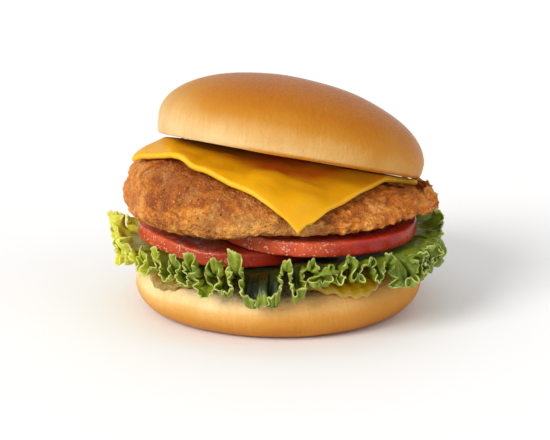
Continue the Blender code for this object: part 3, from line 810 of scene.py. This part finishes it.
def ripe_tomato(name):
    """Wet red flesh and skin, beaded with juice where its wetness field is high; there it is also
    brighter with painted light, and its beads carry painted glints.
    """
    constants = {
        "Subsurface Weight": 0.22,
        "Subsurface Radius": (1.0, 0.25, 0.12),
        "Subsurface Scale": 0.0022,
        "Specular IOR Level": 0.36,
    }
    finish, tree, shader = new_finish(name, constants)
    wet = field(tree, "wet")
    ray = field(tree, "ray")
    patches = mottle(tree, 0.006, 3.0)
    # Darker red towards the right of each slice and brighter towards the left: partly moister flesh,
    # partly painted light and shade.
    dry = ramp(tree, patches, ((0.30, (0.30, 0.012, 0.005)), (0.70, (0.41, 0.020, 0.006))))
    moist = ramp(tree, patches, ((0.30, (0.58, 0.058, 0.018)), (0.70, (0.79, 0.150, 0.050))))
    red = blend(tree, wet, dry, moist)
    specks = cells(tree, 980.0)
    strewn = mottle(tree, 0.0024, 2.0, 2.2)
    grains = reckon(tree, "SUBTRACT", spread(tree, strewn, 0.25, 0.75, 0.18, 0.52), specks)
    grains = spread(tree, grains, 0.0, 0.16, 0, 1)
    # Painted glints: the juice beads are painted pale where the flesh is moister.
    grainy = times(tree, times(tree, grains, 0.85), wet)
    red = blend(tree, grainy, red, (1.0, 0.58, 0.36))
    pocket = field(tree, "pocket")
    red = blend(tree, times(tree, pocket, 0.7), red, (0.62, 0.14, 0.02))
    seeds = cells(tree, 300.0)
    seeded = times(tree, spread(tree, seeds, 0.25, 0.32, 1, 0), pocket)
    red = blend(tree, seeded, red, (0.86, 0.66, 0.30))
    red = blend(tree, spread(tree, ray, 0.2, 0.0, 0, 0.6), red, (0.82, 0.42, 0.26))
    tree.links.new(red, shader.inputs["Base Color"])
    shine = spread(tree, grains, 0.0, 1.0, 0.30, 0.10)
    tree.links.new(shine, shader.inputs["Roughness"])
    beads = times(tree, grains, spread(tree, wet, 0, 1, 0.15, 1))
    relief(tree, shader, beads, 0.00022)
    relief(tree, shader, patches, 0.00030)
    return finish


def lay_tomato(name, node, centre, underside, phase, wet_between, finish):
    """A slice that lies level and rises towards the left end, wetter, and brighter with painted light,
    from one x to the other.
    """
    shape = uneven(TOMATO_COLUMNS, 0.008, (2, phase), (5, phase * 2), (3, phase * 3))
    thick, rounding = TOMATO_THICKNESS, TOMATO_ROUNDING
    face_radii = np.linspace(TOMATO_RADIUS * 0.04, TOMATO_RADIUS - rounding, 30)
    face = [(radius, 0) for radius in face_radii[:-1]]
    lower_half = face + [
        (TOMATO_RADIUS - rounding * (1 - math.sin(a)) ** 1.3, (1 - math.cos(a)) * rounding * 1.6)
        for a in np.linspace(0, math.pi / 2, 9)
    ]
    lower_half.append((TOMATO_RADIUS, thick / 2))
    profile = lower_half + [(radius, thick - z) for radius, z in reversed(lower_half[:-1])]
    rings = np.stack([ring(radius * shape, z, TOMATO_COLUMNS) for radius, z in profile])
    rays = np.hypot(rings[..., 0], rings[..., 1]) / TOMATO_RADIUS
    turn = np.broadcast_to(turns(TOMATO_COLUMNS), rays.shape)
    wall = np.abs(np.sin(2.5 * turn + phase + 0.25 * np.sin(3 * turn)))
    pocket = smooth(0.32, 0.40, rays) * (1 - smooth(0.70, 0.78, rays)) * smooth(0.22, 0.42, wall)
    rings[..., :2] += centre
    rise = TOMATO_RISE * smooth(TOMATO_RISE_FROM, TOMATO_RISE_TO, -rings[..., 0])
    rings[..., 2] += underside + rise
    # Moister, and brighter with painted light, towards one end.
    wet = smooth(*wet_between, rings[..., 0])
    rings += outward_of(rings) * (0.00016 * rough(rings, 0.0035) - 0.00010 * pocket)[..., None]
    low, high = (*centre, underside), (*centre, underside + thick)
    slice_of_tomato = turned(name, rings, low, high, finish, wet=wet, ray=rays, pocket=pocket)
    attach(slice_of_tomato, "root")
    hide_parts(node)


tomato_red = ripe_tomato("ripe tomato")
slices = (
    ("slice_left", "tomato_left", TOMATO_LEFT, TOMATO_LEFT_UNDERSIDE, 0.6, (0.005, -0.060)),
    ("slice_right", "tomato_right", TOMATO_RIGHT, TOMATO_RIGHT_UNDERSIDE, 1.7, (0.030, 0.004)),
)
for one_slice in slices:
    lay_tomato(*one_slice, tomato_red)


# The fillet is a chicken breast in a coat of seasoned breadcrumbs, fried until it is golden. It
# is thick at the left and thin and craggy at the right, with browner patches, dark specks of
# pepper and small pits where the coat has blistered.
FILLET_LENGTH = 0.1170
FILLET_WIDTH = 0.1000
FILLET_CENTRE = (0.0012, -0.0030)
FILLET_OUTLINE_POWER = 2.25
FILLET_TAPER = 0.16
FILLET_UNDERSIDE = 0.0362
FILLET_SAG = 0.0028
FILLET_WIDEST_SHARE = 0.42
FILLET_TOPS = (
    (-0.060, 0.0575),
    (-0.048, 0.0612),
    (-0.038, 0.0618),
    (-0.028, 0.0585),
    (-0.016, 0.0560),
    (0.000, 0.0550),
    (0.020, 0.0540),
    (0.040, 0.0520),
    (0.055, 0.0505),
    (0.062, 0.0490),
)
FILLET_FRONT_SLOPE = 0.22
FILLET_FRONT_SLOPE_FROM = -0.012
FILLET_COLUMNS = 540
FILLET_RINGS = 172
# Lumps and crumbs are given as (size, height).
CRUST_LUMPS = ((0.0110, 0.0024), (0.0050, 0.0012))
CRUST_DEEPEST = 0.0016
CRUST_HIGHEST = 0.0006
CRUMBS = ((0.0030, 0.00058), (0.0015, 0.00036), (0.0008, 0.00010))
CRUMBS_SUNK = 0.0005
CRUMB_RANGE = 0.00075
FLAKE_DEPTH = 0.0019
FLAKE_SIZE = 0.0046
CHEESE_THICKNESS = 0.0022
CHEESE_LIFT = 0.0011
CROWN_RADIUS = 0.0499
CROWN_CENTRE = (0.0035, 0.0, 0.0556)
CROWN_TILT_RIGHT = math.radians(10.2)
CROWN_TILT_BACK = math.radians(11.6)


def crown_cut(x, y):
    """The height of the crown's cut face over a point of the table."""
    cx, cy, cz = CROWN_CENTRE
    fall_back = math.tan(CROWN_TILT_BACK) / math.cos(CROWN_TILT_RIGHT)
    return cz - math.tan(CROWN_TILT_RIGHT) * (x - cx) - fall_back * (y - cy)


def fillet_reach(turn):
    """The fillet's outline from its centre: a long oval, slimmer towards the right."""
    right = np.cos(turn)
    half_width = FILLET_WIDTH / 2 * (1 - FILLET_TAPER * smooth(0.1, 1.0, right))
    spread_out = (np.abs(right) / (FILLET_LENGTH / 2)) ** FILLET_OUTLINE_POWER
    spread_out = spread_out + (np.abs(np.sin(turn)) / half_width) ** FILLET_OUTLINE_POWER
    return spread_out ** (-1 / FILLET_OUTLINE_POWER) * (1 + 0.012 * np.cos(3 * turn + 0.8))


def fillet_levels(x, y):
    """(underside, widest level, free top, pressed top) of the fillet over a point of the table."""
    beside = np.hypot(x - TOMATO_RIGHT[0], y - TOMATO_RIGHT[1]) - TOMATO_RADIUS
    under = FILLET_UNDERSIDE - FILLET_SAG * smooth(0.005, 0.013, beside)
    fall = FILLET_FRONT_SLOPE * np.clip(FILLET_FRONT_SLOPE_FROM - y, 0, 1)
    free = np.interp(x, *np.transpose(FILLET_TOPS)) - fall * smooth(-0.01, 0.02, x)
    past_rim = np.hypot(x - CROWN_CENTRE[0], y) - CROWN_RADIUS
    pressed = crown_cut(x, y) - CHEESE_THICKNESS - CHEESE_LIFT - 1.5 * GAP
    pressed = pressed + 2 * np.clip(past_rim, 0, 1)
    return under, under + FILLET_WIDEST_SHARE * (free - under), free, pressed


def fillet_crest(widest, free, pressed, rise):
    """The height of the upper side: a dome, flattened where the crown presses on it."""
    dome = widest + (free - widest) * rise
    return np.minimum(dome, pressed) - GAP * np.exp(-np.abs(dome - pressed) / 0.002)


def fillet_powers(turn, upper):
    """How square the fillet is in plan and in height: less is squarer, and 1 is an ellipse."""
    left = smooth(-0.4, 0.9, -np.cos(turn))
    right = smooth(0.6, 1.0, np.cos(turn))
    above = 0.74 - 0.24 * left - 0.04 * right
    below = 0.42 + 0.28 * right
    return np.where(upper, above, below), np.where(upper, above + 0.06, below + 0.10)


def fillet_point(turn, latitude):
    """The fillet's smooth surface, (..., xyz)."""
    upper = latitude > 0
    plan_power, rise_power = fillet_powers(turn, upper)
    reach = fillet_reach(turn) * np.cos(latitude) ** plan_power
    x = FILLET_CENTRE[0] + reach * np.cos(turn)
    y = FILLET_CENTRE[1] + reach * np.sin(turn)
    under, widest, free, pressed = fillet_levels(x, y)
    rise = np.abs(np.sin(latitude)) ** rise_power
    crest = fillet_crest(widest, free, pressed, rise)
    height = np.where(upper, crest, widest + (under - widest) * rise)
    return np.stack([x, y, height], axis=-1)


def fried_crumb(name):
    """The breadcrumb coat: golden where it stands out and browner in its hollows, as painted highlight
    and shade, and specked.
    """
    constants = {
        "Subsurface Weight": 0.16,
        "Subsurface Radius": (1.0, 0.40, 0.12),
        "Subsurface Scale": 0.0018,
        "Specular IOR Level": 0.30,
    }
    finish, tree, shader = new_finish(name, constants)
    crumb = field(tree, "crumb")
    granules = cells(tree, 850.0)
    grit = mottle(tree, 0.0006, 3.0, 1.8)
    grit = reckon(tree, "MULTIPLY_ADD", granules, -0.9, reckon(tree, "ADD", grit, 0.42))
    # The colour follows how high the coat stands: painted highlights on the crumbs' tops and painted
    # shade in the hollows between them.
    height = nudged(tree, crumb, grit, 0.34)
    golden = ramp(
        tree,
        height,
        (
            (0.05, (0.190, 0.038, 0.004)),
            (0.32, (0.420, 0.112, 0.010)),
            (0.55, (0.680, 0.212, 0.016)),
            (0.78, (0.810, 0.345, 0.042)),
            (1.00, (0.900, 0.560, 0.140)),
        ),
    )
    blotches = spread(tree, mottle(tree, 0.0036, 3.0, 1.8), 0.48, 0.76, 0, 0.88)
    golden = blend(tree, blotches, golden, (0.255, 0.051, 0.006))
    browned = spread(tree, mottle(tree, 0.010, 3.0, 1.6), 0.48, 0.74, 0, 0.70)
    golden = blend(tree, browned, golden, (0.320, 0.078, 0.010))
    pale = spread(tree, mottle(tree, 0.0060, 3.0, 1.8), 0.46, 0.20, 0, 0.68)
    fair = times(tree, field(tree, "fair"), spread(tree, mottle(tree, 0.0050), 0.3, 0.6, 0.25, 1))
    pale = reckon(tree, "MAXIMUM", pale, fair)
    golden = blend(tree, pale, golden, (0.800, 0.430, 0.110))
    # Painted light: brighter orange at the left end, where the lamp falls, and brighter orange towards
    # the right.
    golden = blend(tree, field(tree, "lively"), golden, (0.93, 0.290, 0.030))
    # Darker towards the top of the coat, under the cheese's edge.
    golden = blend(tree, field(tree, "toasted"), golden, (0.340, 0.078, 0.009))
    # Painted shade: the small sunken pits are painted nearly black.
    pits = cells(tree, 300.0)
    strewn = spread(tree, mottle(tree, 0.0085, 2.0, 1.6), 0.40, 0.62, 0.08, 1)
    pitted = times(tree, spread(tree, pits, 0.06, 0.13, 0.85, 0), strewn)
    golden = blend(tree, pitted, golden, (0.055, 0.018, 0.006))
    flecks = mottle(tree, 0.0009, 2.0, 2.2)
    golden = blend(tree, spread(tree, flecks, 0.78, 0.95, 0, 0.75), golden, (0.200, 0.040, 0.006))
    golden = blend(tree, spread(tree, flecks, 0.16, 0.04, 0, 0.55), golden, (0.930, 0.600, 0.200))
    tree.links.new(golden, shader.inputs["Base Color"])
    shine = spread(tree, grit, 0.25, 0.75, 0.66, 0.40)
    tree.links.new(shine, shader.inputs["Roughness"])
    relief(tree, shader, grit, 0.00065)
    relief(tree, shader, spread(tree, pits, 0.04, 0.16, 0, 1), 0.00050)
    return finish


latitude = np.linspace(-math.pi / 2, math.pi / 2, FILLET_RINGS + 2)
fillet_poles = fillet_point(np.zeros(2), latitude[[0, -1]])
latitude = latitude[1:-1]
fillet_rings = fillet_point(*np.meshgrid(turns(FILLET_COLUMNS), latitude))
fillet_out = fillet_rings - [*FILLET_CENTRE, (FILLET_UNDERSIDE + FILLET_TOPS[0][1]) / 2]
fillet_out[..., 2] *= 0.4
fillet_out /= np.linalg.norm(fillet_out, axis=2, keepdims=True)
fillet_side = np.cos(latitude)[:, None] ** 0.8
crust = sum(height * rough(fillet_rings, size) for size, height in CRUST_LUMPS)
crust = np.clip(crust, -CRUST_DEEPEST, CRUST_HIGHEST)
crumbs = sum(height * rough(fillet_rings, size) for size, height in CRUMBS)
crumbs *= 1 + 0.45 * smooth(0.000, 0.030, fillet_rings[..., 0])
tip = smooth(0.034, 0.056, fillet_rings[..., 0])
flakes = FLAKE_DEPTH * tip * (0.2 - np.abs(rough(fillet_rings, FLAKE_SIZE)) * 3.0)
fillet_rings = fillet_rings + fillet_out * (crust * fillet_side)[..., None]
crumbled = crumbs - CRUMBS_SUNK + flakes * fillet_side
fillet_rings = fillet_rings + outward_of(fillet_rings) * crumbled[..., None]
# How high the coat stands at each point, which the finish turns into painted highlight and shade.
crumb_field = 0.50 + crumbs / CRUMB_RANGE * 0.34 + crust / CRUST_DEEPEST * 0.20
right_of_it = fillet_rings[..., 0]
above_it = fillet_rings[..., 2]
# Painted light at the left end, where the lamp falls, and brighter orange towards the right.
lively = 0.42 * smooth(0.040, 0.056, -right_of_it) + 0.28 * smooth(0.012, 0.040, right_of_it)
fair = 0.60 * np.exp(-(((right_of_it + 0.008) / 0.020) ** 2) - ((above_it - 0.0420) / 0.0048) ** 2)
# Darker towards the top, under the cheese's edge, but not at the left end.
toasted = 0.66 * smooth(0.0450, 0.0530, above_it) * (1 - smooth(0.038, 0.052, -right_of_it))
fillet = turned(
    "breaded_fillet",
    fillet_rings,
    fillet_poles[0],
    fillet_poles[1],
    fried_crumb("fried crumb coat"),
    crumb=crumb_field,
    lively=lively,
    fair=fair,
    toasted=toasted,
)
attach(fillet, "root")
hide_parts("chicken_fillet")


# The cheese is one square slice of soft processed cheese. It has warmed and drapes over the
# fillet, with one corner hanging down in front, and it is dented where the crust lifts it.
CHEESE_SIDE = 0.0770
CHEESE_CENTRE = (-0.0008, -0.0085)
CHEESE_TURN = math.radians(53.8)
CHEESE_STEEPEST = math.radians(74)
CHEESE_ROUNDING = 0.0009
CHEESE_DENTS = ((0.012, 0.00120), (0.006, 0.00050))  # (size, depth)
CHEESE_DEEPEST_DENT = 0.0004
CHEESE_BULGE = 0.0020
SMEAR_LEFT = (-0.016, -0.002)  # the crown's painted orange shade deepens between these x
SMEAR_RIGHT = (0.016, 0.028)  # and fades between these
SMEAR_UNDER_CROWN = (-0.0205, -0.0155)  # and between these distances past the crown's rim


def fillet_cover(x, y, swell):
    """The height of the swollen fillet's upper side, and minus one beyond its outline."""
    dx, dy = x - FILLET_CENTRE[0], y - FILLET_CENTRE[1]
    turn = np.arctan2(dy, dx)
    share = np.hypot(dx, dy) / (fillet_reach(turn) + swell)
    plan_power, rise_power = fillet_powers(turn, True)
    across = np.clip(share, 0, 1) ** (1 / plan_power)
    _, widest, free, pressed = fillet_levels(x, y)
    rise = np.sqrt(1 - across**2) ** rise_power
    return np.where(share < 1, fillet_crest(widest, free + swell, pressed + swell, rise), -1.0)


def cheese_grid(flat):
    """The middle of the draped slice, (row, column, xyz), from its flat distances each way.

    Each point is reached by walking its flat distance out from the slice's centre, down over
    the fillet, and hanging steeply where the fillet's side falls away."""
    u, v = np.meshgrid(flat, flat)
    heading = np.arctan2(v, u) + CHEESE_TURN
    step_x, step_y = np.cos(heading), np.sin(heading)
    x, y = np.full(u.shape, CHEESE_CENTRE[0]), np.full(u.shape, CHEESE_CENTRE[1])
    swell = CHEESE_LIFT + CHEESE_THICKNESS / 2
    z = fillet_cover(x, y, swell)
    steps, ahead, steepest = 90, 0.0012, math.tan(CHEESE_STEEPEST)
    stride = np.hypot(u, v) / steps
    for _ in range(steps):
        here = np.minimum(fillet_cover(x, y, swell), z)
        there = fillet_cover(x + step_x * ahead, y + step_y * ahead, swell)
        slope = np.clip((there - here) / ahead, -steepest, steepest)
        slope = np.where(there > 0, slope, -steepest)
        run = stride / np.sqrt(1 + slope**2)
        x, y, z = x + step_x * run, y + step_y * run, z + slope * run
        z = np.maximum(z, fillet_cover(x, y, swell))
    return np.stack([x, y, z], axis=-1)


def soft_cheese(name):
    """Smooth yellow cheese with a painted highlight along its cut edges and painted orange shade where
    the crown shades it.
    """
    constants = {
        "Subsurface Weight": 0.65,
        "Subsurface Radius": (1.0, 0.42, 0.04),
        "Subsurface Scale": 0.0042,
        "Specular IOR Level": 0.25,
    }
    finish, tree, shader = new_finish(name, constants)
    clouds = mottle(tree, 0.012, 2.0)
    yellow = ramp(tree, clouds, ((0.30, (0.70, 0.335, 0.001)), (0.70, (0.77, 0.395, 0.001))))
    # Painted shade: orange where the crown shades the cheese.
    yellow = blend(tree, field(tree, "sauced"), yellow, (0.64, 0.120, 0.003))
    # Painted highlight: the cut edges are painted lighter.
    rim = spread(tree, field(tree, "rim"), 0.0, 1.0, 0, 0.55)
    yellow = blend(tree, rim, yellow, (0.93, 0.52, 0.030))
    tree.links.new(yellow, shader.inputs["Base Color"])
    tree.links.new(spread(tree, clouds, 0.3, 0.7, 0.34, 0.46), shader.inputs["Roughness"])
    relief(tree, shader, mottle(tree, 0.004, 3.0), 0.00022)
    return finish


in_from_edge = np.array([0, 0.00012, 0.00035, 0.0007, 0.0011])
even_steps = np.linspace(0.0018, CHEESE_SIDE - 0.0018, 116)
cheese_flat = np.concatenate([in_from_edge, even_steps, CHEESE_SIDE - in_from_edge[::-1]])
cheese_flat -= CHEESE_SIDE / 2
cheese_middle = cheese_grid(cheese_flat)
to_edge = CHEESE_SIDE / 2 - np.abs(cheese_flat)
to_edge = np.minimum(to_edge[:, None], to_edge[None, :])
cheese_x, cheese_y = cheese_middle[..., 0], cheese_middle[..., 1]
under_crown = crown_cut(cheese_x, cheese_y) - cheese_middle[..., 2] - CHEESE_THICKNESS / 2
room = smooth(0.0004, 0.0040, under_crown)
past_crown = np.hypot(cheese_x - CROWN_CENTRE[0], cheese_y) - CROWN_RADIUS
room = np.maximum(room, smooth(0.0, 0.004, past_crown))
dents = sum(depth * rough(cheese_middle, size) for size, depth in CHEESE_DENTS)
bulge = CHEESE_BULGE * np.exp(-(((cheese_x - 0.012) / 0.012) ** 2) - ((cheese_y + 0.046) / 0.007) ** 2)
lift = (np.maximum(dents, -CHEESE_DEEPEST_DENT) + bulge) * room
cheese_middle = cheese_middle + across_sheet(cheese_middle) * lift[..., None]
streaky = np.clip(0.85 + 0.5 * rough(cheese_middle, 0.009), 0, 1)
# Painted shade of the crown: a streaky orange band on the cheese under the crown, strongest in the
# middle, fading out towards the crown's rim.
sauced = 0.35 + 0.60 * smooth(*SMEAR_LEFT, cheese_x) * (1 - smooth(*SMEAR_RIGHT, cheese_x))
sauced_depth = past_crown + 0.20 * np.maximum(cheese_x - 0.002, 0)
sauced = sauced * streaky * (1 - smooth(*SMEAR_UNDER_CROWN, sauced_depth))
rounded = np.sqrt(np.clip(1 - (1 - np.clip(to_edge / CHEESE_ROUNDING, 0, 1)) ** 2, 0.06, 1))
cheese = laid_sheet(
    "draped_cheese",
    cheese_middle,
    CHEESE_THICKNESS * rounded,
    soft_cheese("soft cheese"),
    # Where the cut edges get their painted highlight.
    rim=1 - smooth(0.0001, 0.0011, to_edge),
    sauced=sauced,
)
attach(cheese, "root")
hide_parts("cheese_slice")


# The crown is the upper half of the bun, a low dome that has slid back and to the right. Its top
# is brushed with egg before baking, so it is dark and glossy, and its side pales to cream with
# fine upright creases towards the cut edge.
CROWN_CUT_RADIUS = 0.0485
CROWN_WIDEST_HEIGHT = 0.0056
CROWN_HEIGHT = 0.0290
CROWN_DOME_POWER = 2.04
CROWN_LEAN = 0.0033
CROWN_BROWNING = (
    (0.0000, 0.05),
    (0.0030, 0.11),
    (0.0065, 0.24),
    (0.0105, 0.52),
    (0.0160, 0.84),
    (0.0290, 1.00),
)
CROWN_CRUST = (
    (0.00, (0.74, 0.51, 0.235)),
    (0.25, (0.62, 0.35, 0.105)),
    (0.55, (0.52, 0.215, 0.022)),
    (0.85, (0.45, 0.145, 0.004)),
    (1.00, (0.42, 0.118, 0.001)),
)


def crown_profile(steps):
    """(radius, height) pairs from the cut face's edge, over the rim and up the dome."""
    bulge = CROWN_RADIUS - CROWN_CUT_RADIUS
    rise = CROWN_HEIGHT - CROWN_WIDEST_HEIGHT
    power = 2 / CROWN_DOME_POWER
    rim = [
        (CROWN_CUT_RADIUS + bulge * sine, CROWN_WIDEST_HEIGHT * (1 - cosine))
        for sine, cosine in quarter_arc(14)
    ]
    dome = [
        (CROWN_RADIUS * cosine**power, CROWN_WIDEST_HEIGHT + rise * sine**power)
        for sine, cosine in quarter_arc(steps + 1)[1:-1]
    ]
    return rim + dome


crown_face = [(radius, 0.0) for radius in np.linspace(0.004, CROWN_CUT_RADIUS, 34)[:-1]]
crown_sections = crown_face + crown_profile(72)
crown_shape = uneven(BUN_COLUMNS, 0.005, (2, 2.2), (3, 0.3), (4, 1.2))
crown_rings = np.stack([ring(radius * crown_shape, z, BUN_COLUMNS) for radius, z in crown_sections])
crown_share = (crown_rings[..., 2] - CROWN_WIDEST_HEIGHT) / (CROWN_HEIGHT - CROWN_WIDEST_HEIGHT)
crown_rings[..., 0] -= CROWN_LEAN * np.maximum(crown_share, 0)
crown_browning = browning_of(crown_rings, CROWN_BROWNING, 0.38)
# Painted shade: a thin dark line along the lower edge of the rim, at the left and in the middle.
crown_brim = smooth(0.0015, 0.0002, crown_rings[..., 2]) * smooth(-0.030, 0.000, crown_rings[..., 0])
crown_browning += 0.75 * crown_brim
# Paler towards the left: painted light where the lamp at the left falls on the crown.
crown_browning *= 1 - 0.52 * smooth(0.022, 0.047, -crown_rings[..., 0])
crown_grain = grain_of(crown_rings)
crown_faces_down = np.zeros(crown_rings.shape[:2])
crown_faces_down[: len(crown_face)] = 1
creases = 0.00005 * rough(crown_grain, 0.0013) * (1 - crown_browning)
puffs = 0.00030 * rough(crown_rings, 0.020)
crown_rings += outward_of(crown_rings) * ((creases + puffs) * (1 - crown_faces_down))[..., None]
crown_turn = np.array(Euler((-CROWN_TILT_BACK, CROWN_TILT_RIGHT, 0)).to_matrix())
crown_top = crown_turn @ (-CROWN_LEAN, 0, CROWN_HEIGHT) + CROWN_CENTRE
crown_rings = crown_rings @ crown_turn.T + CROWN_CENTRE
crown = turned(
    "crown_of_bun",
    crown_rings,
    CROWN_CENTRE,
    crown_top,
    baked_bread("crown crust", CROWN_CRUST, 0.52, 0.27),
    browning=crown_browning,
    grain=crown_grain,
    cut=crown_faces_down,
)
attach(crown, "root")
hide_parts("top_bun")


# The studio is a plain pale floor under a large soft lamp at the left, a weak one at the right
# and pale surroundings. The camera has a long lens and looks down a little on the open front.
CAMERA_TARGET = Vector((-0.0013, 0.0, 0.0308))
CAMERA_DISTANCE = 0.574
CAMERA_ELEVATION = math.radians(15)
LAMPS = (  # (name, direction that it shines from, width in degrees, strength, colour)
    ("lamp_left", (-0.66, -0.62, 0.54), 30, 2.35, (1.0, 0.985, 0.965)),
    ("lamp_right", (0.80, -0.50, 0.45), 50, 0.37, (1.0, 0.99, 0.98)),
)
SURROUNDINGS = 0.66
FLOOR_CORNERS = ((-9, -9, 0), (9, -9, 0), (9, 9, 0), (-9, 9, 0))

floor_mesh = bpy.data.meshes.new("floor")
floor_mesh.from_pydata(FLOOR_CORNERS, [], [(0, 1, 2, 3)])
floor = new_object("floor", floor_mesh)
floor_look = {"Roughness": 0.7, "Base Color": (0.97, 0.97, 0.97, 1.0)}
floor_white, _, _ = new_finish("pale floor", floor_look)
floor_mesh.materials.append(floor_white)

for name, source, width, strength, colour in LAMPS:
    lamp = bpy.data.lights.new(name, "SUN")
    lamp.angle = math.radians(width)
    lamp.energy = strength
    lamp.color = colour
    holder = new_object(name, lamp)
    holder.rotation_euler = Vector(source).to_track_quat("Z", "Y").to_euler()

surroundings = bpy.data.worlds.new("pale studio")
surroundings.use_nodes = True
glow = surroundings.node_tree.nodes["Background"]
glow.inputs["Color"].default_value = (1.0, 1.0, 1.0, 1.0)
glow.inputs["Strength"].default_value = SURROUNDINGS
bpy.context.scene.world = surroundings
bpy.context.scene.view_settings.view_transform = "Standard"

lens = bpy.data.cameras.new("camera")
lens.lens = 100
lens.sensor_width = 36
camera = new_object("camera", lens)
back_off = Vector((0, -math.cos(CAMERA_ELEVATION), math.sin(CAMERA_ELEVATION)))
camera.location = CAMERA_TARGET + CAMERA_DISTANCE * back_off
camera.rotation_euler = (math.pi / 2 - CAMERA_ELEVATION, 0, 0)
bpy.context.scene.camera = camera
